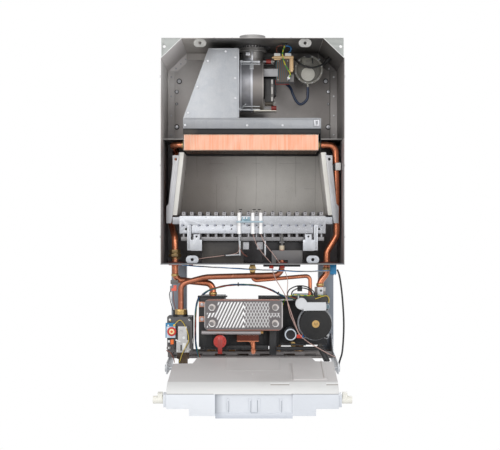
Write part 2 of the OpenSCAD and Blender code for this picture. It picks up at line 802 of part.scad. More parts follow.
// Pipe from the right end of the fin block down to the quick connector
module return_pipe() {
    color("peru") pipe_run([[fin_mid + fin_w / 2, pipe_y, port_z], [up_x - 2, pipe_y, port_z],
        [up_x, pipe_y, fire_low_z], [up_x, pipe_y, burner_z - 25], [right_x, pipe_y, burner_z - 62],
        [right_x, pipe_y, base_z - 22], [conn_x, pipe_y, base_z - 40],
        [conn_x, pipe_y, deck_z + 20]], pipe_r, pipe_bend - 2);
}

nut_z = valve_top + 5;
// Gas pipe from the valve up to the burner
module gas_pipe() {
    color("chocolate") pipe_run([[gas_x, gas_y, nut_z + 6], [gas_x, gas_y, base_z - 44],
        [-104, gas_y, base_z - 28.5], [gas_up_x, gas_y, base_z - 24.5],
        [gas_up_x, gas_y, plate_low - 37]], gas_pipe_r, pipe_bend - 2);
}

thin_y = bay_y + 35;
thin_x = 130;
// Small pipe from the plug under the chamber, and the drain pipe below the exchanger
module thin_pipe() {
    color("peru") pipe_run([[0, thin_y, base_z - 20], [0, thin_y, base_z - 38],
        [thin_x, thin_y, base_z - 26], [thin_x, thin_y, deck_z]], thin_pipe_r, pipe_bend - 10);
    color("peru") pipe_run([[1.8, thin_y, block_low + 13], [1.8, thin_y, block_low - 13],
        [1.8, tail_y - tails[2][1] - gap, block_low - 13]], thin_pipe_r + 0.5, pipe_bend - 10);
    color("sandybrown") slab(-35, 14, thin_y - 12, block_front + 23, block_low + 13, block_low + 27);
}

// Rubber collars where the pipes pass through the chamber floor
module pipe_grommets() {
    color("brown") for (h = floor_holes) difference() {
        union() {
            bar_z(h[0], h[1], base_z - 3, floor_z + 3, h[2] + 3 - gap);
            bar_z(h[0], h[1], floor_z, floor_z + 3, h[2] + 7);
            bar_z(h[0], h[1], base_z - 3, base_z, h[2] + 7);
        }
        bar_z(h[0], h[1], base_z - 4, floor_z + 4, h[2] + gap / 2);
    }
    color("brown") bar_z(42, gas_y - 12, base_z - 3, base_z, 5);
    color("brown") bar_z(-139, thin_y, base_z - 4, base_z, 5);
}

// A union nut round a vertical pipe; gap clear of the pipe all round
module pipe_nut(x, y, z0, z1, across, bore) {
    difference() {
        translate([x, y, z0]) cylinder(h = z1 - z0, r = across / sqrt(3), $fn = 6);
        bar_z(x, y, z0 - 1, z1 + 1, bore);
    }
}

// Brass nuts, the plug under the floor and the quick connector
module pipe_nuts() {
    color("goldenrod") {
        pipe_nut(left_x, pipe_y, floor_z + 14, floor_z + 21, 25, pipe_r + gap / 2);
        pipe_nut(left_x, pipe_y, floor_z + 23, floor_z + 31, 22, pipe_r + gap / 2);
        difference() {
            bar_z(left_x, pipe_y, floor_z + 21, floor_z + 23, 10);
            bar_z(left_x, pipe_y, floor_z + 20, floor_z + 24, pipe_r + gap / 2);
        }
        pipe_nut(gas_x, gas_y, nut_z, nut_z + 12, 23, gas_pipe_r + gap / 2);
        bar_z(0, thin_y, base_z - 20, base_z, 6);
        bar_y(0, thin_y - 14, thin_y - 5, base_z - 10, 8);
    }
    color("silver") difference() {
        slab(conn_x - 12, conn_x + 12, pipe_y - 11, pipe_y + 11, deck_z, deck_z + 20);
        bar_z(conn_x, pipe_y, deck_z - 1, deck_z + 21, 5);
    }
}

valve_l = valve_x - valve_w / 2;
valve_r = valve_x + valve_w / 2;
gas_tail_x = -157;

// Gas valve body with its outlet boss and the light cover
module gas_valve() {
    color("dimgray") {
        slab(valve_l, valve_r, valve_y, valve_y + valve_d, valve_low, valve_top);
        bar_z(gas_x, gas_y + gap * 2, valve_top, nut_z, 8);
        slab(valve_x - 6, valve_x + 6, valve_y + valve_d, back_y, valve_low + 15, valve_low + 55);
    }
    color("gainsboro") difference() {
        slab(valve_r - 35, valve_r - 6, valve_y - 7, valve_y, valve_low, valve_low + 58);
        bar_y(valve_r - 24, valve_y - 8, valve_y - 5, valve_low + 46, 4);
    }
}

// Coil, regulator, plugs, brass inlet and tail of the gas valve
module gas_valve_fittings() {
    coil_x = valve_l + 11;
    color("steelblue") slab(valve_l - 3, valve_l + 19, valve_y - 8, valve_y, valve_low + 33, valve_low + 66);
    color("firebrick") bar_y(coil_x, valve_y - 12, valve_y - 8, valve_low + 47, regulator_r);
    color("burlywood") bar_y(coil_x, valve_y - 13, valve_y - 12, valve_low + 47, regulator_r - 4);
    color("orangered") slab(coil_x - 3, coil_x + 4, valve_y - 6, valve_y, valve_low + 18, valve_low + 29);
    color("silver") bar_y(valve_l + 4, valve_y - 4, valve_y, valve_low + 10, 5);
    color("dimgray") bar_z(valve_l + 6, valve_y + 8, valve_low - 12, valve_low, 5);
    color("goldenrod") {
        translate([gas_tail_x, pipe_y, valve_low - 18]) cylinder(h = 18, r = 14, $fn = 6);
        bar_z(gas_tail_x, pipe_y, bay_z - tail_len, valve_low - 18, tail_r);
    }
}

block_back = -60;
duct_y = block_front + 23;
tower_l = -121;
tower_r = -63;
back_block_x = 60;
block_end = 172;
volute_back = pump_face + 85;

// Moulded water block: a tower each side, the duct between them and the top decks
module water_block() {
    color("dimgray") {
        slab(tower_l, tower_r, block_front, block_back, block_low, deck_z - 3);
        slab(tower_l - 3, tower_r + 6, pipe_y - 10, pipe_y + 12, deck_z - 3, deck_z);
        slab(tower_r, back_block_x, duct_y, block_back, block_low, block_low + 37);
        slab(back_block_x, block_end, volute_back, block_back, block_low, deck_z - 13);
        slab(95, block_end, thin_y - 10, block_back, deck_z - 13, deck_z);
        slab(13, 96, thin_y + 2, thin_y + 30, deck_z - 7, deck_z);
        slab(36, plate_x + plate_w / 2, block_front, volute_back, plate_z - 30, plate_z + 30);
    }
}

lug_z = plate_z + 5.5;
lug_half = 16.5;
// Brazed plate exchanger with round corners, four port bosses and two lugs
module plate_exchanger() {
    r = 11;
    x0 = plate_x - plate_w / 2;
    x1 = plate_x + plate_w / 2;
    z0 = plate_z - plate_h / 2;
    z1 = plate_z + plate_h / 2;
    y0 = plate_y + 2;
    y1 = plate_y + plate_d;
    color("silver") {
        slab(x0 + r, x1 - r, y0, y1, z0, z1);
        slab(x0, x1, y0, y1, z0 + r, z1 - r);
        for (x = [x0 + r, x1 - r]) for (z = [z0 + r, z1 - r]) bar_y(x, y0, y1, z, r);
        for (s = [-1, 1]) for (x = [x0 + 18, x1 - 17]) bar_y(x, plate_y + 0.5, y0, plate_z + s * 17.5, 7);
        for (s = [-1, 1]) difference() {
            slab(x0 - 13, x0, y1 - 3, y1, lug_z + s * lug_half - 6, lug_z + s * lug_half + 6);
            bar_y(x0 - 6, y1 - 4, y1 + 1, lug_z + s * lug_half, 2);
        }
    }
}

cap_y = bay_y + 4;
// Body and spindle of the heating relief valve
module relief_valve() {
    color("goldenrod") {
        bar_y(relief_x, cap_y + 16, block_front, relief_z, 11);
        bar_y(relief_x, cap_y + 5, cap_y + 16, relief_z, 4);
    }
}

// Red relief valve cap with its lever; it turns on the spindle
module relief_cap() {
    color("red") difference() {
        union() {
            bar_y(relief_x, cap_y, cap_y + 15.5, relief_z, relief_r);
            slab(relief_x - 3.4, relief_x + 5, cap_y + 4, cap_y + 11, relief_z - 27, relief_z);
        }
        bar_y(relief_x, cap_y + 4, cap_y + 16, relief_z, 4 + run_gap);
    }
}

// Bypass tube, pressure sensor ring, filling tap and small parts on the water block
module block_fittings() {
    bypass_z = plate_z - plate_h / 2 - 4.5 - gap;
    ring_x = 85.3;
    ring_z = block_low + 29.3;
    color("silver") {
        bar_x(-114, 18.6, plate_y + 10, bypass_z, 4.5);
        difference() {
            bar_y(ring_x, plate_y + 12, volute_back, ring_z, 13.3);
            bar_y(ring_x, plate_y + 11, plate_y + 16, ring_z, 10.2);
        }
    }
    color("goldenrod") {
        bar_x(18.6, 24, plate_y + 10, bypass_z, 3);
        bar_y(ring_x + 6, plate_y + 26, volute_back, ring_z - 23.5, 6);
    }
    color("red") slab(ring_x + 13.6, ring_x + 26, plate_y + 15, plate_y + 23, ring_z - 8, ring_z);
    color("steelblue") slab(ring_x + 26, ring_x + 30, plate_y + 16, plate_y + 22, ring_z - 7, ring_z - 1);
    color("dimgray") slab(38, 54, block_front, duct_y, block_low - 18, plate_z - 30);
    color("gainsboro") for (s = [-1, 1])
        screw_y(plate_x - plate_w / 2 - 6, plate_y + plate_d - 3, lug_z + s * lug_half, 4);
}

pump_flange = pump_face + pump_len;
volute_y = pump_flange + 8;
pump_shaft_r = 4;

// Light cast pump housing with its flange ring, lugs and the wheel space
module pump_housing() {
    color("gainsboro") difference() {
        union() {
            bar_y(pump_x, pump_flange, volute_y, pump_z, pump_r + 4);
            for (a = [50, -50, 130, -130])
                bar_y(pump_x + (pump_r + 5) * cos(a), pump_flange, volute_y, pump_z + (pump_r + 5) * sin(a), 5.5);
            bar_y(pump_x, volute_y, volute_back, pump_z, pump_r);
        }
        bar_y(pump_x, volute_y, volute_back - 5, pump_z, pump_r - 5);
        bar_y(pump_x, pump_flange - 1, volute_y + 1, pump_z, pump_shaft_r + run_gap);
    }
}

// Black pump motor with its flat top, terminal cover and vent plug
module pump_motor() {
    flat_z = pump_z + pump_r - 6.5;
    color("dimgray") difference() {
        bar_y(pump_x, pump_face, pump_flange, pump_z, pump_r);
        slab(pump_x - 40, pump_x + 40, pump_face - 1, pump_flange + 1, flat_z, flat_z + 20);
        bar_y(pump_x, pump_face + 6, pump_flange + 1, pump_z, 24);
    }
    color("gainsboro") {
        slab(114, 164.5, pump_face + 2, pump_flange, flat_z, deck_z - 13);
        bar_y(109, pump_face + 2, thin_y - 10, deck_z - 16, 13);
    }
    color("goldenrod") bar_y(pump_x, pump_face - 1, pump_face, pump_z, 8);
}

// Pump rotor, shaft and water wheel
module pump_wheel() {
    color("silver") {
        bar_y(pump_x, pump_face + 8, volute_y + 16, pump_z, pump_shaft_r);
        bar_y(pump_x, pump_face + 9, pump_flange - 2, pump_z, 21);
        bar_y(pump_x, volute_y + 13, volute_y + 15, pump_z, pump_r - 8);
        for (i = [0:5]) translate([pump_x, 0, pump_z]) rotate([0, 60 * i, 0])
            slab(6, pump_r - 9, volute_y + 4, volute_y + 14, -1, 1);
    }
}

// Threaded tails with their nuts under the crossbar
module connection_tails() {
    color("goldenrod") for (t = tails) {
        bar_z(t[0], tail_y, bay_z - tail_len, block_low, t[1]);
        translate([t[0], tail_y, bay_z - 11]) cylinder(h = 11, r = t[1] + 5, $fn = 6);
    }
}

// Zinc arms with the hinge pins of the control box
module hinge_arms() {
    front = hinge_y - 14;
    color("lightsteelblue") for (s = [0, 1]) mirror([s, 0, 0]) {
        plate_yz([[back_y, bay_z + 54], [back_y, bay_z - 6], [back_y - 80, hinge_z - 12],
            [front, hinge_z - 12], [front, hinge_z + 12], [back_y - 65, bay_z + 17]],
            arm_x, arm_x + arm_t);
        bar_x(box_x - 9, arm_x, hinge_y, hinge_z, hinge_r);
        bar_x(arm_x + arm_t, arm_x + arm_t + 3, hinge_y, hinge_z, hinge_r + 4);
    }
}

// Puts a piece drawn about the hinge axis, cover upwards, into the open service place
module on_hinge() {
    translate([0, hinge_y, hinge_z]) rotate([open_tilt, 0, 0]) children();
}

hinge_edge = 5;
cover_low = axis_in - 17;
crease_y = 37 - box_len;
end_y = 6 - box_len;
end_lean = 0.2;
panel_z = axis_in - 46;
bulge_z = axis_in + 8 - box_t - 13;
lip_z = bulge_z - 5;
bulge_x = 130;
lip_l = -76;
lip_r = 82;

// Outline of the rear cover seen from its face, drawn in by i
function cover_plan(i) = [[-box_x + i, end_y - 5 + i], [box_x - i, end_y - 5 + i],
    [box_x - i, -25 - i], [138 - i, -22 - i], [130 - i, hinge_edge - i],
    [-122 + i, hinge_edge - i], [-130 + i, -38 - i], [-box_x + 4 + i, -40 - i]];
// Side outline of the rear cover, drawn in by i and down to z
function cover_side(i, z) = [[hinge_edge + 1, z], [hinge_edge + 1, axis_in - i],
    [crease_y, axis_in - i], [crease_y - 18, axis_in - 5 - i], [end_y + 4 + i, axis_in - 11 - i],
    [end_y + i, z]];

// Rear cover of the control box: a deep tray with a rounded end and a raised square
module box_rear_cover() {
    color("silver") on_hinge() {
        difference() {
            intersection() {
                translate([0, 0, cover_low]) linear_extrude(30) polygon(cover_plan(0));
                plate_yz(cover_side(0, cover_low), -box_x, box_x);
            }
            intersection() {
                translate([0, 0, cover_low - 1]) linear_extrude(30) polygon(cover_plan(wall_t));
                plate_yz(cover_side(wall_t, cover_low - 1), -box_x, box_x);
            }
        }
        slab(85, 155, -158, -38, axis_in, axis_in + 3);
    }
}

knob_place = [-103, -110];
knob_place_2 = [106, -110];
button_place = [-29, -85];
gauge_place = [46, -135];
button_r = 6;
catch_y = end_y + 12;
catch_z = -9;
catch_r = 8;
pin_r = 3;

// Side outline between z0 and z1 whose end leans with the end face, drawn in by i
function end_block(y0, z0, z1, i) = [[y0, z0], [end_y + (z0 - cover_low) * end_lean + i, z0],
    [end_y + (z1 - cover_low) * end_lean + i, z1], [y0, z1]];

// White front of the control box with its stepped panel, recess, hinge and catch seats
module box_fascia() {
    color("ghostwhite") on_hinge() {
        difference() {
            union() {
                plate_yz(end_block(hinge_edge, cover_low, panel_z, 0), -box_x, box_x);
                plate_yz(end_block(-22, panel_z, bulge_z, 0), -bulge_x, bulge_x);
                plate_yz(end_block(-60, bulge_z, lip_z, 0), lip_l, lip_r);
                for (s = [0, 1]) mirror([s, 0, 0]) {
                    bar_x(box_x - 9, box_x, 0, 0, hinge_r + 4);
                    slab(box_x, box_x + 6.5, catch_y - 10, catch_y + 10, catch_z - 13, catch_z + 13);
                    bar_x(box_x + 6.5, box_x + 22, catch_y, catch_z, pin_r);
                }
                translate([gauge_place.x, gauge_place.y, lip_z - 2]) cylinder(h = 2, r = gauge_r, $fn = 64);
            }
            difference() {
                plate_yz(end_block(hinge_edge - wall_t, cover_low + 1, panel_z + wall_t, 9),
                    -box_x + wall_t, box_x - wall_t);
                for (s = [0, 1]) mirror([s, 0, 0]) {
                    bar_x(box_x - 9, box_x, 0, 0, hinge_r + 4);
                    slab(118, box_x, -46, hinge_edge, cover_low - wall_t, cover_low + 2);
                }
            }
            plate_yz(end_block(-24, panel_z + wall_t + 1, bulge_z + wall_t, 9),
                -bulge_x + wall_t, bulge_x - wall_t);
            plate_yz([[end_y + 5, cover_low + 1], [end_y - 20, cover_low + 1],
                [end_y - 20, bulge_z + 5], [end_y + 5 + (bulge_z - cover_low) * end_lean, bulge_z + 5]],
                lip_l, lip_r);
            for (s = [0, 1]) mirror([s, 0, 0]) bar_x(box_x - 10, box_x + 1, 0, 0, hinge_r + run_gap);
            for (k = [knob_place, knob_place_2])
                bar_z(k.x, k.y, bulge_z - 1, bulge_z + wall_t + 1, pin_r + run_gap);
            bar_z(button_place.x, button_place.y, lip_z - 1, bulge_z + wall_t + 1, button_r + gap);
            translate([gauge_place.x, gauge_place.y, lip_z - 3]) cylinder(h = 2, r = gauge_r - 3, $fn = 64);
            slab(-62, 4, -160, -112, lip_z - 1, lip_z + 1.5);
        }
        for (x = [-52, -7, 11, 56]) plate_yz([[end_y + 4, cover_low - 9], [end_y, cover_low - 9],
            [end_y - 5, cover_low - 33], [end_y, cover_low - 33]], x, x + 4);
    }
}

// Circuit board on four posts with its transformer, relays and terminals
module circuit_board() {
    color("seagreen") on_hinge() {
        slab(-150, 150, -175, -25, -12, -10.4);
        for (x = [-145, 145]) for (y = [-165, -40]) bar_z(x, y, panel_z + wall_t, -12, 4);
        slab(-120, -78, -125, -80, -10.4, 14);
        for (x = [-60, -36, -12]) slab(x, x + 18, -70, -45, -10.4, 6);
        slab(90, 145, -150, -120, -10.4, 4);
    }
}

// A rotary knob with its spindle and pointer bar
module knob(place) {
    color("whitesmoke") on_hinge() translate([place.x, place.y, bulge_z - gap]) {
        translate([0, 0, -15]) cylinder(h = 15, r = knob_r, $fn = 96);
        translate([-3, -knob_r + 2, -18]) cube([6, 2 * knob_r - 4, 4]);
        cylinder(h = 9, r = pin_r, $fn = 48);
    }
}
module knob_heating() {
    knob(knob_place);
}
module knob_water() {
    knob(knob_place_2);
}

// Push button with the collar that keeps it in the panel
module reset_button() {
    color("red") on_hinge() translate([button_place.x, button_place.y, 0]) {
        bar_z(0, 0, lip_z - 3.5, bulge_z + wall_t + gap, button_r);
        bar_z(0, 0, bulge_z + wall_t + gap, bulge_z + wall_t + 2, button_r + 2);
    }
}

// Cam catch that turns on the pin at the side of the control box
module box_catch() {
    color("ivory") on_hinge() difference() {
        union() {
            bar_x(box_x + 6.5 + gap, box_x + 28, catch_y, catch_z, catch_r);
            slab(box_x + 8, box_x + 18, catch_y - 7, catch_y + 7, catch_z, catch_z + 15);
        }
        bar_x(box_x + 6, box_x + 22.5, catch_y, catch_z, pin_r + run_gap);
    }
}
module box_catch_left() {
    mirror([1, 0, 0]) box_catch();
}
module box_catch_right() {
    box_catch();
}

hose_route = [[129, -106, -111.3], [129, -106, -126], [127, -106, -140], [114, -106, -151],
    [103, -106, -145], [94, -106, -127], [88, -103, -112], [70, -95, -96], [45, -88, -88],
    [25.4, -85, -85]];
switch_route = [[167, -130, -59.5], [150, -132, -67], [132, -131, -69], [112, -129, -61],
    [99, -127, -50], [94.3, -126, -50]];
brown_route = [[71, -190, -28], [62, -188, -27], [55, -178, -31], [56, -158, -39.6]];
blue_route = [[75, -190, -28], [84, -186, -29], [88, -174, -34], [82, -158, -39.6]];
earth_route = [[73, -191, -28], [68, -189, -46], [74, -178, -68], [86, -168, -88], [83, -161.4, -97]];
lead_1 = [[-29.8, -226, -454.5], [-30, -224, -478], [-35, -218, -497], [-75, -214, -504],
    [-118, -208, -510], [-139, -200, -519.8]];
lead_2 = [[0.6, -226, -454.5], [8, -226, -480], [26, -226, -505], [42, -225, -519.8]];
lead_3 = [[18.4, -226, -454.5], [26, -227, -480], [40, -228, -505], [51, -227, -519.8]];
lead_low = [[42, -224, -525.4], [52, -228, -555], [72, -229, -590], [90, -229, -640],
    [104, -229, -676], [122, -229, -694], [145, -227, -708], [172, -215, -724], [188, -200, -732]];
arc_route = [[-112, -191, -590.5], [-110, -206, -589], [-98, -214, -581], [-84, -215, -576],
    [-58, -215, -570], [-30, -215, -568], [10, -215, -570], [40, -215, -579], [68, -216, -593],
    [97, -213.4, -600]];
pump_route = [[84, -193, -593.5], [84, -193.5, -588], [89, -200, -580], [104, -207, -573.5],
    [121, -208.5, -575], [133, -208.5, -582], [137, -208, -588], [137, -208, -593.5]];
earth_2 = [[68.9, -190, -615], [74, -205, -600], [92, -212, -591], [118, -208.5, -592.8],
    [140, -208, -592.8], [160, -207, -592.8]];
side_cable = [[190.3, -214, -534], [196, -214, -552], [202, -214, -600], [205, -214, -660],
    [202, -214, -715], [196, -222, -736], [192.2, -236, -744]];
floor_wires = [[-157, -230, -523.8], [-110, -230, -527], [-60, -230, -530], [-4, -229, -533],
    [60, -229, -536], [120, -226, -538], [173.3, -214, -536]];
harness_route = [[-121, -206, -597], [-126, -212, -615], [-128, -214, -640], [-128, -214, -690],
    [-124, -226, -714], [-116, -250, -730], [-112, -261.7, -734.3]];

// Wires, leads and the pressure hose that the boiler holds all the way
module held_cables() {
    color("darkslateblue") wire(hose_route, 2.5, 4, 8);
    color("black") {
        wire(switch_route, 2.2);
        translate([179.8, -130, -46.2]) rotate([0, 43.7 + 180, 0]) cylinder(h = 17, r = 5, $fn = 32);
        slab(67, 79, -197, -184, -28, top_z - sheet);
        wire(arc_route, 3);
        wire(pump_route, 1.8);
        wire(side_cable, 2);
        wire(floor_wires, 1.5);
    }
    color("brown") wire(brown_route, 1);
    color("royalblue") wire(blue_route, 1);
    color("yellowgreen") {
        wire(earth_route, 1);
        wire(earth_2, 1);
    }
    color("tan") {
        wire(lead_1, 0.9);
        wire(lead_2, 0.9);
        wire(lead_3, 0.9);
        wire(lead_low, 1);
    }
    color("steelblue") slab(174, 188, -222, -206, base_z - 22, base_z);
}

// Wiring that crosses the hinge into the control box
module box_harness() {
    color("black") wire(harness_route, 3);
}

frame_rail_left();
frame_rail_right();
frame_top_plate();
frame_bottom_bar();
chamber_back();
chamber_left();
chamber_right();
chamber_top();
chamber_bottom();
chamber_corners();
chamber_shelves();
cover_tabs();
chamber_rivets();
expansion_vessel();
flue_spigot();
flue_hood();
hood_screws();
fan_housing();
fan_wheel();
fan_motor();
fan_coil();
fan_mounts();
pressure_switch();
heat_exchanger();
exchanger_casing();
fire_boards();
fire_shell();
burner_blades();
burner_front_plate();
burner_brackets();
gas_rail();
electrodes();
flow_pipe();
return_pipe();
gas_pipe();
thin_pipe();
pipe_grommets();
pipe_nuts();
gas_valve();
gas_valve_fittings();
water_block();
plate_exchanger();
relief_valve();
relief_cap();
block_fittings();
pump_housing();
pump_motor();
pump_wheel();
connection_tails();
hinge_arms();
box_rear_cover();
box_fascia();
circuit_board();
knob_heating();
knob_water();
reset_button();
box_catch_left();
box_catch_right();
held_cables();
box_harness();
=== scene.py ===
import json
import math

import bmesh
import bpy
from mathutils import Matrix, Vector, noise


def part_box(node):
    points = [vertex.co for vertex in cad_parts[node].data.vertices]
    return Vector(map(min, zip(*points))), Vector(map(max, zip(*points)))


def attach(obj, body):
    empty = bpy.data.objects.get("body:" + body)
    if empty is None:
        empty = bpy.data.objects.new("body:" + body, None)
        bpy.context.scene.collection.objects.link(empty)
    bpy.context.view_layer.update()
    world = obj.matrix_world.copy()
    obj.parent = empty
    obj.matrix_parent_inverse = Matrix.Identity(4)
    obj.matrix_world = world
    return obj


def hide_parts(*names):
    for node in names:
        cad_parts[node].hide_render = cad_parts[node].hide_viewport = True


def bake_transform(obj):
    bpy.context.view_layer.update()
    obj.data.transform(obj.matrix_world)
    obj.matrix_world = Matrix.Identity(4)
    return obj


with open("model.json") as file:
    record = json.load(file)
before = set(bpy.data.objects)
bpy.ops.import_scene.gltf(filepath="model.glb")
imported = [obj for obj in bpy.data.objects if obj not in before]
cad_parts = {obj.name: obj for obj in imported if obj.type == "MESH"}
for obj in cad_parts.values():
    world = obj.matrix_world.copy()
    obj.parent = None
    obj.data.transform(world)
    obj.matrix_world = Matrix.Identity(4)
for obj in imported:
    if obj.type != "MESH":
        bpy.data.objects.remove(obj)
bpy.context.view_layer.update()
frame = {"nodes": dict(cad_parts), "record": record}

# The camera stands straight in front, level with the middle of the boiler.
# Its lens and shift are those of the photograph.
photo = bpy.data.cameras.new("photo")
photo.lens = 87.7
photo.sensor_width = 36
photo.shift_x = -0.005
photo.shift_y = 0.024
camera = bpy.data.objects.new("camera", photo)
camera.location = (0, -2.949, -0.461)
camera.rotation_euler = (math.radians(90), 0, 0)
bpy.context.scene.collection.objects.link(camera)
bpy.context.scene.camera = camera
bpy.context.scene.view_settings.view_transform = "Standard"

# Soft studio light: two large lamps in front, one from above, and a pale world.
# The lamps are wide, so the deep chamber is lit far in and keeps soft shadows.
for name, place, size, power in [
    ("front_left", (-1.2, -3.2, 0.7), 2.0, 36),
    ("front_right", (1.5, -2.9, 0.1), 1.8, 24),
    ("above", (0.1, -1.3, 1.7), 1.6, 9),
    ("behind", (0.6, 2.4, 0.9), 1.8, 22),
]:
    glow = bpy.data.lights.new(name, "AREA")
    glow.size = size
    glow.energy = power
    lamp = bpy.data.objects.new(name, glow)
    lamp.location = place
    aim = Vector((0, -0.15, -0.45)) - Vector(place)
    lamp.rotation_euler = aim.to_track_quat("-Z", "Y").to_euler()
    bpy.context.scene.collection.objects.link(lamp)

# The pale floor, which only throws light back up, and the white world seen behind the boiler.
# Metal sees a grey world, as in a studio with white cloth on some sides only.
def linear(colour):
    """A colour as it looks, turned into the amounts of light that the renderer works with."""
    return tuple(((c + 0.055) / 1.055) ** 2.4 if c > 0.04 else c / 12.92 for c in colour)


class Shade:
    """A value in a material. Operators on it add Math nodes; add() makes any other node."""

    def __init__(self, tree, socket=None):
        self.tree = tree
        self.socket = socket

    def join(self, value, socket):
        if isinstance(value, Shade):
            self.tree.links.new(value.socket, socket)
        elif socket.type == "RGBA" and len(value) == 3:
            socket.default_value = (*value, 1)
        else:
            socket.default_value = value

    def add(self, kind, settings=None, inputs=None, out=0):
        made = self.tree.nodes.new("ShaderNode" + kind)
        for key, value in (settings or {}).items():
            if key == "stops":
                while len(made.color_ramp.elements) < len(value):
                    made.color_ramp.elements.new(1)
                for stop, (place, colour) in zip(made.color_ramp.elements, value):
                    stop.position = place
                    stop.color = (*colour, 1)
            else:
                setattr(made, key, value)
        for key, value in (inputs or {}).items():
            self.join(value, made.inputs[key])
        return Shade(self.tree, made.outputs[out] if len(made.outputs) else None)

    def sum(self, operation, first, second=0.0):
        return self.add("Math", {"operation": operation}, {0: first, 1: second})

    def __add__(self, other):
        return self.sum("ADD", self, other)

    def __radd__(self, other):
        return self.sum("ADD", other, self)

    def __sub__(self, other):
        return self.sum("SUBTRACT", self, other)

    def __rsub__(self, other):
        return self.sum("SUBTRACT", other, self)

    def __mul__(self, other):
        return self.sum("MULTIPLY", self, other)

    def __rmul__(self, other):
        return self.sum("MULTIPLY", other, self)

    def __lt__(self, other):
        return self.sum("LESS_THAN", self, other)

    def __gt__(self, other):
        return self.sum("GREATER_THAN", self, other)

    def sine(self):
        """Waves. A place in metres times 6283 gives one to each mm."""
        return self.sum("SINE", self)

    def root(self):
        return self.sum("SQRT", self)

    def clip(self):
        return self.add("Clamp", None, {0: self})

    def mix(self, first, second):
        return self.add("Mix", {"data_type": "RGBA"}, {0: self, 6: first, 7: second}, 2)

    def size(self):
        return self.sum("ABSOLUTE", self)

    def noise(self, scale, detail=3.0):
        return self.add("TexNoise", None, {"Vector": self, "Scale": scale, "Detail": detail})

    def part(self, axis):
        return self.add("SeparateXYZ", None, {0: self}, axis)

    x = property(lambda self: self.part(0))
    y = property(lambda self: self.part(1))
    z = property(lambda self: self.part(2))

    def ramp(self, start, rate):
        """0 up to a start, then the rate times the way past it, kept within 0 and 1."""
        return ((self - start) * rate).clip()

    def tint(self, tone, colour):
        return self.mix(tone, linear(colour))

    def stretch(self, scale):
        return self.add("Mapping", None, {"Vector": self, "Scale": scale})

    def away(self, first, second, axes=(0, 2)):
        """How far a place is from a straight line that passes a point given in mm."""
        across = self.part(axes[0]) - first / 1000
        along = self.part(axes[1]) - second / 1000
        return (across * across + along * along).root()


def stage_finish():
    pale = bpy.data.materials.new("pale_floor")
    pale.use_nodes = True
    pale.node_tree.nodes.clear()
    shade = Shade(pale.node_tree)
    matt = shade.add("BsdfDiffuse", None, {"Color": (0.93, 0.93, 0.93)})
    shade.add("OutputMaterial", None, {0: matt})
    return pale


floor_shape = bmesh.new()
bmesh.ops.create_grid(floor_shape, x_segments=1, y_segments=1, size=6)
bmesh.ops.translate(floor_shape, verts=floor_shape.verts, vec=(0, 0, -1.02))
floor_mesh = bpy.data.meshes.new("floor")
floor_shape.to_mesh(floor_mesh)
floor_shape.free()
floor_mesh.materials.append(stage_finish())
floor = bpy.data.objects.new("floor", floor_mesh)
floor.visible_camera = False
bpy.context.scene.collection.objects.link(floor)

sky = bpy.data.worlds.new("sky")
bpy.context.scene.world = sky
sky.use_nodes = True
sky.node_tree.nodes.clear()
air = Shade(sky.node_tree)
light_path = air.add("LightPath").socket.node
straight = Shade(sky.node_tree, light_path.outputs["Is Camera Ray"])
glossy = Shade(sky.node_tree, light_path.outputs["Is Glossy Ray"])
through = Shade(sky.node_tree, light_path.outputs["Is Transmission Ray"])
white_seen = (straight + glossy * 0.15 + through).clip()
soft_air = air.add("Background", None, {0: (0.90, 0.92, 0.96), 1: 0.52})
white_air = air.add("Background", None, {0: (1, 1, 1), 1: 1.0})
air.add("OutputWorld", None, {0: air.add("MixShader", None,
                                         {0: white_seen, 1: soft_air, 2: white_air})})


# Wall frame: two pressed channel rails and a zinc plated top plate whose ears take the screws.
# The rails are painted steel, bent from sheet, with the slight ripple that pressing leaves.
def finish(name, colour, rough=0.5, metal=0.0, mottle=0.1, cloud=35, grain=0.15, fine=700,
           spread=0.12, paint=None, relief=None, depth=0.0004, grime=0.25, coat=0.0):
    """A procedural finish. paint(place, colour) recolours it and relief(place) raises it."""
    made = bpy.data.materials.new(name)
    made.use_nodes = True
    made.node_tree.nodes.clear()
    shade = Shade(made.node_tree)
    place = shade.add("TexCoord", None, None, 3)
    clouds = place.noise(cloud, 4.0)
    specks = place.noise(fine, 2.0)
    base = linear(colour)
    tone = clouds.mix([c * (1 - mottle * 1.5) for c in base],
                      [min(1, c * (1 + mottle)) for c in base])
    if paint:
        tone = paint(place, tone)
    if grime:
        dirt = place.noise(9, 5.0).ramp(0.52, 6) * grime
        tone = dirt.mix(tone, [c * 0.62 for c in linear((0.62, 0.58, 0.52))])
    height = specks * grain
    if relief:
        height = height + relief(place)
    bump = shade.add("Bump", None, {"Strength": 0.6, "Distance": depth, "Height": height})
    body = shade.add("BsdfPrincipled", None, {
        "Base Color": tone, "Metallic": metal, "Coat Weight": coat,
        "Roughness": (rough + (clouds - 0.5) * spread + (specks - 0.5) * spread).clip(),
        "Normal": bump})
    shade.add("OutputMaterial", None, {0: body})
    return made


def groups_of(shape):
    """The separate solids of a mesh, each as a list of its corners."""
    left = set(shape.verts)
    while left:
        group, edge = [], [left.pop()]
        while edge:
            corner = edge.pop()
            group.append(corner)
            for link in corner.link_edges:
                other = link.other_vert(corner)
                if other in left:
                    left.remove(other)
                    edge.append(other)
        yield group


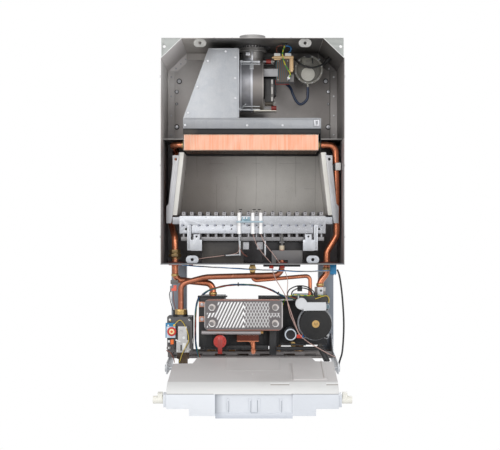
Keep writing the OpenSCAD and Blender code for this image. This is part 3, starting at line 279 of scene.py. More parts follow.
def settle(name, shape, finishes, body, slot, smooth=38):
    """Turns a finished shape into a piece that rides on a body."""
    bmesh.ops.recalc_face_normals(shape, faces=shape.faces)
    mesh = bpy.data.meshes.new(name)
    shape.to_mesh(mesh)
    shape.free()
    for finish_used in finishes:
        mesh.materials.append(finish_used)
    mesh.polygons.foreach_set("use_smooth", [True] * len(mesh.polygons))
    mesh.set_sharp_from_angle(angle=math.radians(smooth))
    piece = bpy.data.objects.new(name, mesh)
    bpy.context.scene.collection.objects.link(piece)
    if body:
        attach(piece, body)
    return piece


slot_of = {row["node"]: row["material_slot"] for row in frame["record"]["subparts"]}
body_of = {node: body for body, nodes in frame["record"]["behaviour"]["bodies"].items()
           for node in nodes}


def dress(node, finishes, edge=0.6, steps=2, pick=None, rounds=0, sharp=32, smooth=38):
    """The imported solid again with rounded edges. pick(low, high) in mm chooses a finish."""
    shape = bmesh.new()
    shape.from_mesh(frame["nodes"][node].data)
    bmesh.ops.remove_doubles(shape, verts=shape.verts, dist=2e-6)
    bmesh.ops.dissolve_limit(shape, angle_limit=math.radians(0.5), verts=shape.verts,
                             edges=shape.edges)
    for group in list(groups_of(shape)):
        low = Vector([min(v.co[i] for v in group) for i in range(3)]) * 1000
        high = Vector([max(v.co[i] for v in group) for i in range(3)]) * 1000
        faces = {f for v in group for f in v.link_faces}
        if pick:
            chosen = pick(low, high)
            for face in faces:
                face.material_index = chosen
        if edge:
            keen = {e for f in faces for e in f.edges if e.is_manifold
                    and e.calc_face_angle(0) > math.radians(sharp)}
            thin = min(high - low) * 0.2
            bmesh.ops.bevel(shape, geom=list(keen), offset=min(edge, thin) / 1000,
                            offset_type="OFFSET", segments=steps, profile=0.5,
                            affect="EDGES", clamp_overlap=True, material=-1)
    piece = settle(node + "_dressed", shape, finishes, body_of[node], slot_of[node], smooth)
    if rounds:
        crease = piece.data.attributes.new("crease_edge", "FLOAT", "EDGE")
        sharp_edges = piece.data.attributes.get("sharp_edge")
        for i, edge_is_sharp in enumerate(sharp_edges.data if sharp_edges else []):
            crease.data[i].value = float(edge_is_sharp.value)
        smoother = piece.modifiers.new("rounds", "SUBSURF")
        smoother.levels = smoother.render_levels = rounds
    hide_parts(node)
    return piece


rail_paint = finish("rail_paint", (0.56, 0.585, 0.62), rough=0.42, metal=0.3, mottle=0.12,
                    cloud=14, grain=0.3)
for rail in ("frame_rail_left", "frame_rail_right"):
    dress(rail, [rail_paint], edge=0.7)
plated = finish("plated_steel", (0.66, 0.67, 0.655), rough=0.40, metal=0.3, mottle=0.12,
                cloud=45, grain=0.2, grime=0.12)
dress("frame_top_plate", [plated], edge=0.5)

# Flat expansion vessel behind the chamber: two red painted pans joined at a rolled seam,
# with its pipe stub below.
def pan_seam(place):
    return (place.y + 0.026).size() < 0.0012


vessel_red = finish("vessel_red", (0.70, 0.16, 0.12), rough=0.36, mottle=0.08, coat=0.3,
                    relief=pan_seam, depth=0.0012)
dress("expansion_vessel", [vessel_red], edge=5, steps=4)

# Sealed chamber: folded galvanised sheets, riveted at their flanges, grey and warm with age.
# The zinc shows soft patches of spangle, and the lower half of the chamber is darker.
no_limit = (None, None, None)


def inside(place, low, high):
    """1 within a box given in mm, else 0. None leaves a side open."""
    mask = 1.0
    for axis in range(3):
        along = place.part(axis)
        if low[axis] is not None:
            mask = (along > low[axis] / 1000) * mask
        if high[axis] is not None:
            mask = (along < high[axis] / 1000) * mask
    return mask


def patches(*boxes, first=None):
    """Paints boxes of a piece, each two corners in mm, a colour and any masks or shares of it.
    What first paints lies under them."""
    def paint(place, tone):
        if first:
            tone = first(place, tone)
        for low, high, colour, *covers in boxes:
            mask = inside(place, low, high)
            for cover in covers:
                mask = mask * cover
            tone = mask.tint(tone, colour)
        return tone
    return paint


def spangle(place, tone):
    cells = place.add("TexVoronoi", {"feature": "F1"}, {"Vector": place, "Scale": 95.0}, 1)
    return (cells.x * 0.16).tint(tone, (0.80, 0.79, 0.77))


def chamber_tones(place, tone):
    """Painted light and shade: lit at the upper left, shaded to the right, a shadow under the fan
    and a lighter patch low in the middle; darker below the shelves and at the right flange.
    """
    shaded = place.x.ramp(-0.06, 6) * 0.50 - place.x.ramp(0.085, 14) * 0.22
    tone = shaded.tint(tone, (0.42, 0.40, 0.39))
    lit = place.x.ramp(-0.10, -16) * place.z.ramp(-0.17, 14) * 0.9
    tone = spangle(place, lit.tint(tone, (0.96, 0.95, 0.94)))
    within = (place.y < -0.0462) * (place.x.size() < 0.2018)
    darker_below_shelves = place.z.ramp(-0.245, -60) * 0.80 * within
    tone = darker_below_shelves.tint(tone, (0.60, 0.58, 0.585))
    # A lighter patch low in the middle of the back sheet: painted light.
    middle = (place.x.size() < 0.025) * (place.z < -0.455) * within
    tone = middle.tint(tone, (0.86, 0.85, 0.86))
    # A painted shadow on the back sheet under the fan.
    fan_shadow = (place.z.ramp(-0.160, -90) * place.z.ramp(-0.215, 60)
                 * place.x.ramp(-0.040, 90) * place.x.ramp(0.045, -45))
    tone = (fan_shadow * within * 0.75).tint(tone, (0.13, 0.12, 0.12))
    flange = inside(place, (183, None, -243), (203, -46, -60)) * 0.5
    return flange.tint(tone, (0.34, 0.325, 0.32))


chamber_grey = finish("chamber_sheet", (0.80, 0.775, 0.76), rough=0.46, metal=0.35,
                      mottle=0.09, cloud=11, grain=0.12, paint=chamber_tones, grime=0.2)
for sheet in ("chamber_back", "chamber_left", "chamber_right"):
    dress(sheet, [chamber_grey], edge=0.4)


# Painted shade across the middle of the chamber top's underside.
def dark_middle(place, tone):
    inner = place.x.ramp(-0.125, 28) * (place.x < 0.156) * (place.z < -0.0226)
    return (inner * 0.82).tint(spangle(place, tone), (0.21, 0.205, 0.205))


chamber_top_grey = finish("chamber_top_sheet", (0.78, 0.76, 0.74), rough=0.45, metal=0.35,
                          mottle=0.09, cloud=11, paint=dark_middle, grime=0.15)
dress("chamber_top", [chamber_top_grey], edge=0.4)
# The corner slopes: the left one painted lighter as if lit, the right one in painted shade, and a
# painted highlight along their front edge.
chamber_slope = finish("chamber_slope", (0.66, 0.64, 0.625), rough=0.44, metal=0.3,
                       mottle=0.1, cloud=11, grime=0.15, paint=patches(
                           (no_limit, (0, None, None), (1.0, 0.98, 0.97), 0.75),
                           ((0, None, None), no_limit, (0.30, 0.285, 0.275), 0.85),
                           (no_limit, (None, -263.5, None), (0.90, 0.90, 0.89), 0.85),
                           first=spangle))
dress("chamber_corners", [chamber_slope], edge=0.4)
# The chamber floor has a painted highlight along its front edge.
floor_steel = finish("chamber_floor", (0.34, 0.34, 0.35), rough=0.5, metal=0.3, mottle=0.14,
                     cloud=20, grime=0.35, paint=patches(
                         (no_limit, (None, -262.5, -521.2), (0.72, 0.72, 0.72), 0.8)))
dress("chamber_bottom", [floor_steel], edge=0.4)
shelf_steel = finish("shelf_steel", (0.34, 0.34, 0.35), rough=0.5, metal=0.3, mottle=0.12)
dress("chamber_shelves", [shelf_steel], edge=0.4)

# Fixing tabs for the chamber's cover, and rivets: pressed zinc tabs with screw holes, and
# steel blind rivets along the flanges.
bright_zinc = finish("bright_zinc", (0.80, 0.81, 0.82), rough=0.36, metal=0.35, mottle=0.1,
                     cloud=50, paint=spangle, grime=0.1)
tab_zinc = finish("tab_zinc", (0.62, 0.615, 0.60), rough=0.4, metal=0.25, mottle=0.12,
                  cloud=70, grime=0.1, paint=patches(
                      (no_limit, (None, None, -300), (0.70, 0.71, 0.73))))
dress("cover_tabs", [tab_zinc], edge=0.6)
rivet_steel = finish("rivet_steel", (0.80, 0.80, 0.81), rough=0.35, metal=0.6, mottle=0.12,
                     cloud=200, grime=0)
dress("chamber_rivets", [rivet_steel], edge=0.5, steps=3)

# Shelf lips and rivet shading: the shelves' front edges are folded over and catch the light.
# Dark discs on the back sheet, under the rivets at its sides, are painted shade round them.
shelf_low, shelf_high = (corner * 1000 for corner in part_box("chamber_shelves"))
exchanger_half = 154
lips = bmesh.new()
for start, end in ((shelf_low.x + 0.6, -exchanger_half), (exchanger_half, shelf_high.x - 0.6)):
    made = bmesh.ops.create_cube(lips, size=0.001)["verts"]
    bmesh.ops.scale(lips, verts=made, vec=(end - start, 0.8, 1.5))
    bmesh.ops.translate(lips, verts=made, vec=Vector(
        ((start + end) / 2, shelf_low.y - 0.2, (shelf_low.z + shelf_high.z) / 2)) / 1000)
settle("shelf_lips", lips, [tab_zinc], "boiler", "zinc_sheet")
rivet_shade_dark = finish("rivet_shade_dark", (0.20, 0.19, 0.19), rough=0.6, mottle=0.15, grime=0)
rivet_shades = bmesh.new()
for side in (-1, 1):
    for x, z, radius in ((174.5, -90, 6.4), (180.5, -115, 4.8), (180.5, -144, 3.2),
                         (180.5, -199, 6.4)):
        bmesh.ops.create_cone(rivet_shades, cap_ends=True, segments=40, radius1=radius / 1000,
                              radius2=radius / 1000, depth=0.0006, matrix=Matrix.Translation(
                                  (side * x / 1000, -0.0468, z / 1000))
                              @ Matrix.Rotation(math.radians(90), 4, "X"))
settle("rivet_shade_discs", rivet_shades, [rivet_shade_dark], "boiler", "zinc_sheet")

# Flue spigot: a short cast aluminium pipe through the chamber top, where the flue duct
# pushes on. The fan blows into its lower end.
# Below the chamber top the spigot is painted darker, as shade.
cast_grey = finish("cast_grey", (0.66, 0.65, 0.64), rough=0.5, metal=0.35, mottle=0.1,
                   cloud=90, grain=0.8, fine=900, grime=0.25,
                   paint=patches((no_limit, (None, None, -24), (0.46, 0.45, 0.44))))
dress("flue_spigot", [cast_grey], edge=0.5)

# Air ring: a black moulded grille of 30 bars, clipped round the spigot under the chamber top.
# The burner's air comes in through it.
air_ring = bmesh.new()
for step in range(30):
    turn = Matrix.Rotation(math.radians(12 * step), 4, "Z")
    made = bmesh.ops.create_cube(air_ring, size=1)["verts"]
    bmesh.ops.scale(air_ring, verts=made, vec=(0.0098, 0.0022, 0.007))
    bmesh.ops.translate(air_ring, verts=made, vec=(0.0356, 0, 0))
    bmesh.ops.transform(air_ring, verts=made, matrix=turn)
bmesh.ops.translate(air_ring, verts=air_ring.verts, vec=(0, -0.130, -0.0225))
ring_black = finish("ring_black", (0.17, 0.17, 0.175), rough=0.6, mottle=0.12, grime=0.1)
settle("air_ring", air_ring, [ring_black], "boiler", "cast_grey")

# Flue hood: a folded and riveted collector of bright zinc sheet, with screws along its edges.
# A seam strip covers the fold beside the fan, and a rolled bead stiffens the foot.
def brushed(place, tone):
    streak = place.stretch((1.0, 1.0, 0.05)).noise(420, 2.0) * 0.16
    tone = streak.tint(spangle(place, tone), (0.80, 0.81, 0.83))
    # Bright specks: painted glints.
    sparkle = place.noise(800, 1.0).ramp(0.54, 7) * 0.17
    tone = sparkle.tint(tone, (0.97, 0.97, 0.98))
    foot = (place.z < -0.1935) * 0.35
    return foot.tint(tone, (0.40, 0.40, 0.41))


hood_zinc = finish("hood_zinc", (0.64, 0.65, 0.665), rough=0.40, metal=0.35, mottle=0.11,
                   cloud=12, grain=0.1, paint=brushed, grime=0.16)
dress("flue_hood", [hood_zinc], edge=0.5)
dress("hood_screws", [rivet_steel], edge=0.6, steps=3)


def block(shape, low, high, turn=None, edge=0.0, steps=2):
    """Adds a box between two corners in mm, with rounded edges, turned about its middle."""
    size = Vector(high) - Vector(low)
    middle = (Vector(high) + Vector(low)) / 2
    made = bmesh.ops.create_cube(shape, size=1)["verts"]
    bmesh.ops.scale(shape, verts=made, vec=size / 1000)
    if edge:
        edges = list({e for v in made for e in v.link_edges})
        result = bmesh.ops.bevel(shape, geom=edges, offset=edge / 1000, offset_type="OFFSET",
                                 segments=steps, profile=0.5, affect="EDGES",
                                 clamp_overlap=True, material=-1)
        made = list({v for f in result["faces"] for v in f.verts} | {v for v in made
                                                                     if v.is_valid})
    if turn:
        bmesh.ops.rotate(shape, verts=made, matrix=turn)
    bmesh.ops.translate(shape, verts=made, vec=middle / 1000)
    return made


def rod(shape, start, end, radius, sides=24, tip=None):
    """Adds a round bar between two points in mm; tip is its radius at the end."""
    start, end = Vector(start) / 1000, Vector(end) / 1000
    along = end - start
    turn = along.to_track_quat("Z", "Y").to_matrix().to_4x4()
    made = bmesh.ops.create_cone(
        shape, cap_ends=True, segments=sides, radius1=radius / 1000,
        radius2=(radius if tip is None else tip) / 1000, depth=along.length,
        matrix=Matrix.Translation((start + end) / 2) @ turn)["verts"]
    return made


def blocks(shape, *rows):
    """Adds several blocks, each its two corners in mm and how far its edges are rounded."""
    for low, high, edge in rows:
        block(shape, low, high, edge=edge)


def rods(shape, *rows):
    """Adds several rods, each its two ends in mm, its radius and, where it counts, its sides."""
    for start, end, radius, *sides in rows:
        rod(shape, start, end, radius, *sides)


seams = bmesh.new()
blocks(seams, ((-32.6, -216.6, -193), (-30.0, -215.1, -39), 0.5),
       ((-152, -216.4, -196.2), (150, -215.1, -193.6), 0.5),
       ((-96, -216.4, -40.0), (-34, -215.1, -37.6), 0.5))
settle("hood_seams", seams, [hood_zinc], "boiler", "zinc_sheet")

# Flue fan: a split cast housing held by steel clips, its wheel, and a shaded-pole motor with
# an iron stack, a beige coil former, white plugs and red rubber mounts.
# The housing has painted highlights on its left rim and on the rib at its middle seam.
fan_cast = finish("fan_cast", (0.60, 0.60, 0.62), rough=0.38, metal=0.5, mottle=0.16,
                  cloud=130, grain=0.9, fine=900, grime=0.35, paint=patches(
                      ((1, None, None), (None, None, -50), (0.52, 0.50, 0.49)),
                      ((22, None, None), (None, None, -50), (0.62, 0.60, 0.58)),
                      (no_limit, (-24.6, None, -50), (0.85, 0.85, 0.87)),
                      ((-4.2, None, None), (0.3, None, -50), (0.80, 0.80, 0.82)),
                      ((None, None, -50), no_limit, (0.54, 0.53, 0.52))))
dress("fan_housing", [fan_cast], edge=0.9, steps=3)
dress("fan_wheel", [rivet_steel], edge=0.15, steps=1)
drum_y, drum_z, drum_radius = -130, -112, 59


def on_drum(angle, off):
    """The Y and Z, in mm, of a point off the fan's drum, measured up from its front."""
    turn = math.radians(angle)
    reach = drum_radius + off
    return drum_y - reach * math.cos(turn), drum_z + reach * math.sin(turn)


fan_ribs = bmesh.new()
for angle, tall, ends in ((62, 4.6, (-27, 17.5)), (50, 2.0, (-26, 18)), (-58, 1.8, (-23, 17)),
                          (-72, 4.4, (-24, 17))):
    y, z = on_drum(angle, 0.4)
    block(fan_ribs, (ends[0], y - 3, z - tall / 2), (ends[1], y + 3.4, z + tall / 2), edge=0.7)
y, z = on_drum(62, 0.6)
rod(fan_ribs, (-25.4, y - 4.2, z), (-25.4, y, z), 3.1)
y, z = on_drum(39, 1.6)
block(fan_ribs, (-6.4, y - 1.6, z - 7), (2.9, y + 1.6, z + 7),
      Matrix.Rotation(math.radians(-39), 3, "X"), edge=0.8)
y, z = on_drum(-50, 0.6)
low_y, low_z = on_drum(-70, 0.6)
rods(fan_ribs, ((-15.5, y, z), (-27.3, low_y - 3, low_z + 0.5), 1.9),
     ((-27.3, low_y - 6.4, low_z), (-27.3, low_y, low_z), 3.4))
settle("fan_ribs", fan_ribs, [bright_zinc], "boiler", "cast_grey")
neck_parts = bmesh.new()
blocks(neck_parts, ((-15.6, -155.9, -45), (-5.6, -152.2, -36.5), 0.6),
       ((-2.6, -158, -56), (1.4, -153.6, -35.5), 0.6), ((-24, -146, -62), (24, -143, -59), 0.5))
neck_grey = finish("neck_grey", (0.80, 0.80, 0.81), rough=0.3, metal=0.5, mottle=0.2, cloud=90)
settle("fan_neck_parts", neck_parts, [neck_grey], "boiler", "cast_grey")


def in_stack(place):
    return inside(place, (54.5, None, -106.2), no_limit)


def stacked_iron(place, tone):
    stack, sheets = in_stack(place), (place.x * 1337).sine()
    tone = stack.tint(tone, (0.30, 0.285, 0.27))
    below = place.z.ramp(-0.085, -45) * 0.5
    tone = (below * stack).tint(tone, (0.46, 0.44, 0.42))
    tone = ((sheets > 0.35) * stack * 0.7).tint(tone, (0.56, 0.39, 0.30))
    return ((sheets < -0.35) * stack * 0.7).tint(tone, (0.30, 0.45, 0.48))


def sheet_edges(place):
    return (place.x * 4188).sine() * in_stack(place)


iron = finish("motor_iron", (0.17, 0.17, 0.175), rough=0.5, metal=0.3, mottle=0.12,
              cloud=120, paint=stacked_iron, relief=sheet_edges, depth=0.0005, grime=0.1)
dress("fan_motor", [iron], edge=0.7)
coil_beige = finish("coil_beige", (0.87, 0.73, 0.54), rough=0.45, mottle=0.07, cloud=90,
                    paint=patches(((None, None, -46.9), no_limit, (0.93, 0.93, 0.91))),
                    grime=0.08)
dress("fan_coil", [coil_beige], edge=0.7)
mount_mix = finish("fan_mount_mix", (0.62, 0.615, 0.62), rough=0.42, metal=0.15, mottle=0.12,
                   cloud=90, grain=0.6, paint=patches(
                       ((None, None, -176), (None, None, -170.9), (0.80, 0.78, 0.73)),
                       ((31.2, None, -66), (None, None, -50), (0.56, 0.20, 0.18)),
                       ((43, None, -172), (None, None, -158), (0.52, 0.19, 0.17))))
dress("fan_mounts", [mount_mix], edge=0.6, steps=3)

# Trim of the motor: a black bracket with a pale strip in front of the can, the frames and nuts
# of the upper rubber mount, the stack's end plate and the red varnish line below it.
def stain(shape, index):
    """Gives the faces added since the last call their own finish; later ones start at 0."""
    for face in shape.faces:
        if not face.material_index:
            face.material_index = index


motor_trim = bmesh.new()
blocks(motor_trim, ((42.3, -164.4, -151), (47.5, -163, -100.5), 0.4),
       ((84.9, -158.5, -106.4), (95, -152, -88), 0.8), ((45.4, -157, -67), (47, -143, -51), 0.3))
stain(motor_trim, 1)
for low_z, high_z in ((-111, -101), (-134, -118), (-150.5, -141)):
    block(motor_trim, (42.7, -165.0, low_z), (46.6, -164.1, high_z), edge=0.4)
rods(motor_trim, ((43, -150, -58.5), (46, -150, -58.5), 4.6, 32),
     ((47, -150, -58.5), (50, -150, -58.5), 3.4, 6),
     ((47.5, -152, -158), (52, -150, -151), 2.2, 20))
for x in (58.5, 80.5):
    for z in (-58, -101):
        rod(motor_trim, (x, -160.9, z), (x, -159.9, z), 1.2)
stain(motor_trim, 2)
rod(motor_trim, (28, -155.5, -155), (47, -155.5, -155), 5.2, 32)
stain(motor_trim, 3)
rods(motor_trim, ((53.2, -160, -111.4), (84, -160, -111.4), 0.8, 12),
     ((53.2, -160.6, -111.4), (53.2, -160.6, -101), 0.8, 12))
stain(motor_trim, 4)
blocks(motor_trim, ((27.5, -163.2, -152), (49, -160.1, -100), 0.6),
       ((30, -164.6, -138), (38, -163, -103), 0.6),
       ((53.4, -161.6, -110.2), (94.5, -157.6, -106.4), 0.5),
       ((84.6, -160, -88), (95, -152, -85.6), 0.4))
for low_z in (-51.9, -67.2):
    block(motor_trim, (25.6, -157, low_z), (49.5, -143, low_z + 1.3), edge=0.3)
trim_black = finish("trim_black", (0.15, 0.15, 0.155), rough=0.5, mottle=0.15, grime=0.2)
trim_grey = finish("trim_grey", (0.44, 0.43, 0.42), rough=0.45, metal=0.2, mottle=0.15)
trim_pale = finish("trim_pale", (0.72, 0.71, 0.69), rough=0.4, metal=0.2, mottle=0.12)
trim_olive = finish("trim_olive", (0.27, 0.24, 0.20), rough=0.5, mottle=0.15)
trim_red = finish("trim_red", (0.50, 0.18, 0.15), rough=0.5, mottle=0.12)
settle("fan_motor_trim", motor_trim, [trim_black, trim_grey, trim_pale, trim_olive, trim_red],
       "boiler", "motor_stack")
plug_parts = bmesh.new()
blocks(plug_parts, ((44.6, -167.4, -53), (93.6, -162.6, -49.4), 0.8),
       ((49, -166.2, -56.4), (64, -162.4, -53.6), 0.6),
       ((86.2, -166.6, -84), (92.4, -163.4, -53), 1.4))
settle("coil_flange", plug_parts, [coil_beige], "boiler", "motor_stack")

# Air pressure switch: two grey moulded halves, clinched together at dots round the rim, with a
# blank round cap in the middle, a push-on terminal and a hose nipple.
switch_x, switch_z = 131, -71


def switch_rings(place):
    away = place.away(switch_x, switch_z)
    return (away * 1900).sine() * (away > 0.0165) * 0.5


def switch_paint(place, tone):
    rim = (place.away(switch_x, switch_z) > 0.0285) * 0.6
    return patches(
        ((110, -116.6, None), (148, -115.2, None), (0.82, 0.81, 0.77)),
        ((None, None, -111.6), (None, None, -103.9), (0.80, 0.79, 0.75)))(
            place, rim.tint(tone, (0.66, 0.65, 0.61)))


switch_grey = finish("switch_grey", (0.47, 0.46, 0.43), rough=0.40, mottle=0.08, cloud=60,
                     relief=switch_rings, depth=0.0008, paint=switch_paint)
dress("pressure_switch", [switch_grey], edge=1.0, steps=3)
switch_top = bmesh.new()
oval = rod(switch_top, (0, -119, 0), (0, -112.4, 0), 6.4, 40)
bmesh.ops.scale(switch_top, verts=oval, vec=(1, 1, 0.62))
bmesh.ops.translate(switch_top, verts=oval, vec=(0.1292, 0, -0.0412))
block(switch_top, (137.6, -116.6, -57.4), (140.8, -112.6, -45.6), edge=0.6)
rod(switch_top, (128.6, -117.9, -52), (128.6, -117, -52), 1.2, 16)
stain(switch_top, 1)
block(switch_top, (114.8, -117.4, -61.6), (136.6, -112.6, -43.6), edge=1.6, steps=3)
block(switch_top, (117.8, -118.2, -58.6), (122.6, -117, -47), edge=0.6)
switch_box = finish("switch_box", (0.54, 0.53, 0.49), rough=0.42, mottle=0.08, grime=0.15)
settle("switch_top", switch_top, [switch_box, trim_black], "boiler", "switch_grey")


def circle(x, z, radius, angles):
    """The places, in mm, at some angles on a circle."""
    turns = [math.radians(angle) for angle in angles]
    return [(x + radius * math.cos(turn), z + radius * math.sin(turn)) for turn in turns]


switch_rim = bmesh.new()
for x, z in circle(switch_x, switch_z, 31.2, range(15, 375, 30)):
    rod(switch_rim, (x, -110.9, z), (x, -109.8, z), 1.2, sides=12)
settle("switch_clinches", switch_rim, [rivet_steel], "boiler", "switch_grey")

# Primary heat exchanger: a block of fine copper fins on water tubes, brazed and bright.
# Each fin is a thin stamped sheet; a darker core with the tubes lies behind their edges.
fin_low, fin_high = (corner * 1000 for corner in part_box("heat_exchanger"))


def fin_glow(place, tone):
    bands = place.stretch((1.0, 0.2, 0.03)).noise(330, 2.0).ramp(0.44, 5.0) * 0.62
    tone = bands.tint(tone, (1.0, 0.60, 0.40))
    across = place.x - place.z * 0.8
    # A painted sheen sweeping across the fins.
    sweep_light = across.noise(14, 2.0).ramp(0.5, 5) * 0.5
    tone = sweep_light.tint(tone, (1.0, 0.95, 0.90))
    ends = ((place.x < -0.1525) + (place.x > 0.1425)).clip() * 0.55
    tone = ends.tint(tone, (1.0, 0.92, 0.86))
    under = inside(place, (None, fin_low.y + 0.9, None), (None, None, fin_low.z + 0.8))
    return (under * 0.92).tint(tone, (0.12, 0.09, 0.08))


fin_copper = finish("fin_copper", (1.0, 0.86, 0.76), rough=0.42, metal=0.05, mottle=0.06,
                    cloud=30, grain=0.05, paint=fin_glow, grime=0.1)
core_copper = finish("core_copper", (1.0, 0.70, 0.55), rough=0.5, metal=0.1, mottle=0.1,
                     paint=patches(((None, fin_low.y + 6, None), (None, None, fin_low.z + 2.5),
                                    (0.14, 0.10, 0.09))))
fins = bmesh.new()
block(fins, fin_low + Vector((1, 1.4, 1.5)), fin_high - Vector((1, 2, 1.5)))
stain(fins, 1)
for end in (fin_low.x, fin_high.x - 1.4):
    block(fins, (end, fin_low.y, fin_low.z), (end + 1.4, fin_high.y, fin_high.z), edge=0.3)
fin_pitch = 2.3
for step in range(int((fin_high.x - fin_low.x - 5) / fin_pitch)):
    x = fin_low.x + 3.2 + step * fin_pitch
    lean = 0.25 * noise.noise(Vector((step * 0.9, 0, 0)))
    block(fins, (x - 0.5 + lean, fin_low.y + 0.15 + abs(lean), fin_low.z),
          (x + 0.5 + lean, fin_high.y, fin_high.z))
tube_z = (fin_low.z + fin_high.z) / 2
for row in range(3):
    y = fin_low.y + 25 + row * 45
    rod(fins, (fin_low.x + 0.1, y, tube_z), (fin_low.x + 2, y, tube_z), 8)
fin_block = settle("copper_fins", fins, [fin_copper, core_copper], "boiler", "fin_copper")
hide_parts("heat_exchanger")

# Casing of the exchanger: black enamelled sheet steel at the sides and back of the fin block,
# with a strip along its front. The pipes go through holes in its sides.
casing_black = finish("casing_black", (0.17, 0.17, 0.175), rough=0.5, metal=0.25, mottle=0.15,
                      cloud=40, grime=0.2, paint=patches(
                          ((None, None, -231), (None, -211, None), (0.10, 0.10, 0.105))))
dress("exchanger_casing", [casing_black], edge=0.4)

# Combustion chamber: ceramic fibre boards in a steel shell, with punched front brackets.
# The boards are fuzzy and grey from use, with off-white cut edges, faint joints and painted
# shade over their left part.
def cracks(place):
    """Faint upright joints with a few cross ones, each wavering and partly faded."""
    waver = place.noise(22, 2.0) * 0.006
    upright = ((place.x + waver) * 135).sine() > 0.988
    kept = place.stretch((1.0, 1.0, 0.35)).noise(30, 1.0) > 0.50
    level = ((place.z + waver) * 105).sine() > 0.996
    return upright * kept + level * (place.noise(17, 1.0) > 0.58)


def fibres(place):
    tall = place.stretch((1.0, 1.0, 0.18))
    return tall.noise(520, 6.0) * 1.6 + cracks(place) * -0.5


def shaded_and_sooted(place, tone):
    # The left part of the boards is in painted shade.
    left = place.x.ramp(0.01, -9) * 0.66
    tone = left.tint(tone, (0.40, 0.36, 0.34))
    tone = (cracks(place) * 0.17).tint(tone, (0.36, 0.33, 0.31))
    low = place.z.ramp(-0.380, -30) * 0.42
    tone = low.tint(tone, (0.45, 0.42, 0.40))
    specks = (place.noise(420, 2.0) > 0.70) * 0.28
    tone = specks.tint(tone, (0.42, 0.38, 0.36))
    sides = (place.x.size() > 0.150) * (place.y < -0.084) * 0.5
    tone = sides.tint(tone, (0.86, 0.84, 0.82))
    return (place.y < -0.2042).tint(tone, (0.90, 0.89, 0.86))


fibre_board = finish("fibre_board", (0.79, 0.775, 0.75), rough=0.95, mottle=0.09, cloud=26,
                     grain=0.8, fine=1500, paint=shaded_and_sooted, relief=fibres, depth=0.0007,
                     grime=0.15)
dress("fire_boards", [fibre_board], edge=0.9)
shell_steel = finish("shell_steel", (0.72, 0.72, 0.73), rough=0.4, metal=0.55, mottle=0.12,
                     cloud=22, paint=spangle, grime=0.3)
dress("fire_shell", [shell_steel], edge=0.4)

# Burner: stainless blades with flame ports in their round tops, coloured by the heat, behind
# a punched zinc plate on its gas rail, with hooks, posts and the dark baffles below.
blade_pitch = 18.2
blade_waves = 2 * math.pi / blade_pitch


def at_blade(place, half):
    """A mask of strips, half wide in mm to each side of every blade's middle."""
    waves = (place.x * (1000 * blade_waves) - math.pi / 2).sine()
    return waves > math.cos(blade_waves * half)


def heat_colours(place, tone):
    hot = place.z.ramp(-0.438, 34)
    warm = hot.add("ValToRGB", {"stops": [
        (0.0, linear((0.80, 0.80, 0.81))), (0.45, linear((0.76, 0.72, 0.66))),
        (0.75, linear((0.60, 0.57, 0.55))), (1.0, linear((0.62, 0.61, 0.62)))]}, {0: hot})
    tone = (hot * 0.75).mix(tone, warm)
    slots = (place.y * 2513).sine() > 0.1
    ports = slots * (place.z > -0.4048)
    tone = (ports * 0.9).mix(tone, (0.01, 0.01, 0.01))
    end = place.y < -0.2117
    low = end * (place.z < -0.452)
    tone = (low + end * (place.z < -0.4128)).clip().tint(tone, (0.40, 0.39, 0.39))
    tone = (low * at_blade(place, 0.9)).tint(tone, (0.86, 0.86, 0.88))
    eye = end * at_blade(place, 1.1) * ((place.z + 0.4075).size() < 0.0013)
    return eye.tint(tone, (0.34, 0.33, 0.32))


blade_steel = finish("blade_steel", (0.62, 0.62, 0.63), rough=0.52, metal=0.4, mottle=0.12,
                     cloud=60, paint=heat_colours, grime=0.15)
dress("burner_blades", [blade_steel], edge=0.7)


def punched_zinc(place, tone):
    tone = spangle(place, tone)
    low = (place.z < -0.4375) * 0.22
    tone = low.tint(tone, (0.60, 0.61, 0.64))
    # The right part of the plate is in painted shade.
    right = place.x.ramp(-0.02, 9) * 0.66
    tone = right.tint(tone, (0.58, 0.58, 0.59))
    blots = place.noise(240, 3.0).ramp(0.60, 10) * 0.30
    tone = blots.tint(tone, (0.50, 0.50, 0.52))
    # Bright specks: painted glints.
    glints = place.noise(420, 1.0).ramp(0.62, 10) * 0.35
    return glints.tint(tone, (0.98, 0.98, 1.0))


plate_zinc = finish("burner_zinc", (0.77, 0.78, 0.80), rough=0.36, metal=0.35, mottle=0.12,
                    cloud=24, paint=punched_zinc, grime=0.10)
dress("burner_front_plate", [plate_zinc], edge=0.4)
bracket_mix = finish("bracket_zinc", (0.78, 0.79, 0.81), rough=0.36, metal=0.4, mottle=0.1,
                     cloud=40, grime=0.15, paint=patches(
                         ((None, -213.6, -470), (None, -211.9, -460.6), (0.52, 0.515, 0.52)),
                         first=spangle))
baffle_mix = finish("baffle_dark", (0.255, 0.245, 0.24), rough=0.6, metal=0.15, mottle=0.2,
                    cloud=60, grain=0.6, fine=500, grime=0.3, paint=patches(
                        ((20, -210, None), no_limit, (0.17, 0.165, 0.17)),
                        ((40, None, None), (None, -210, None), (0.43, 0.42, 0.42)),
                        ((-22, -210, -490), (-7, -203.05, -471), (0.76, 0.76, 0.77)),
                        ((9, -210, -490), (24, -203.05, -471), (0.72, 0.72, 0.73))))
dress("burner_brackets", [bracket_mix, baffle_mix], edge=0.5,
      pick=lambda low, high: int(low.z < -519))


def spring_turns(place, tone):
    spring_low, spring_high = (50, None, -480.4), (80, None, -452.5)
    return patches(
        (spring_low, spring_high, (0.22, 0.21, 0.20)),
        (spring_low, spring_high, (0.60, 0.59, 0.58), (place.z * 2200).sine() > 0.0),
        ((50, None, -520), (80, None, -480.2), (0.86, 0.80, 0.70)))(place, tone)


rail_mix = finish("gas_rail_mix", (0.66, 0.66, 0.67), rough=0.42, metal=0.4, mottle=0.1,
                  paint=spring_turns)
dress("gas_rail", [rail_mix], edge=0.5)
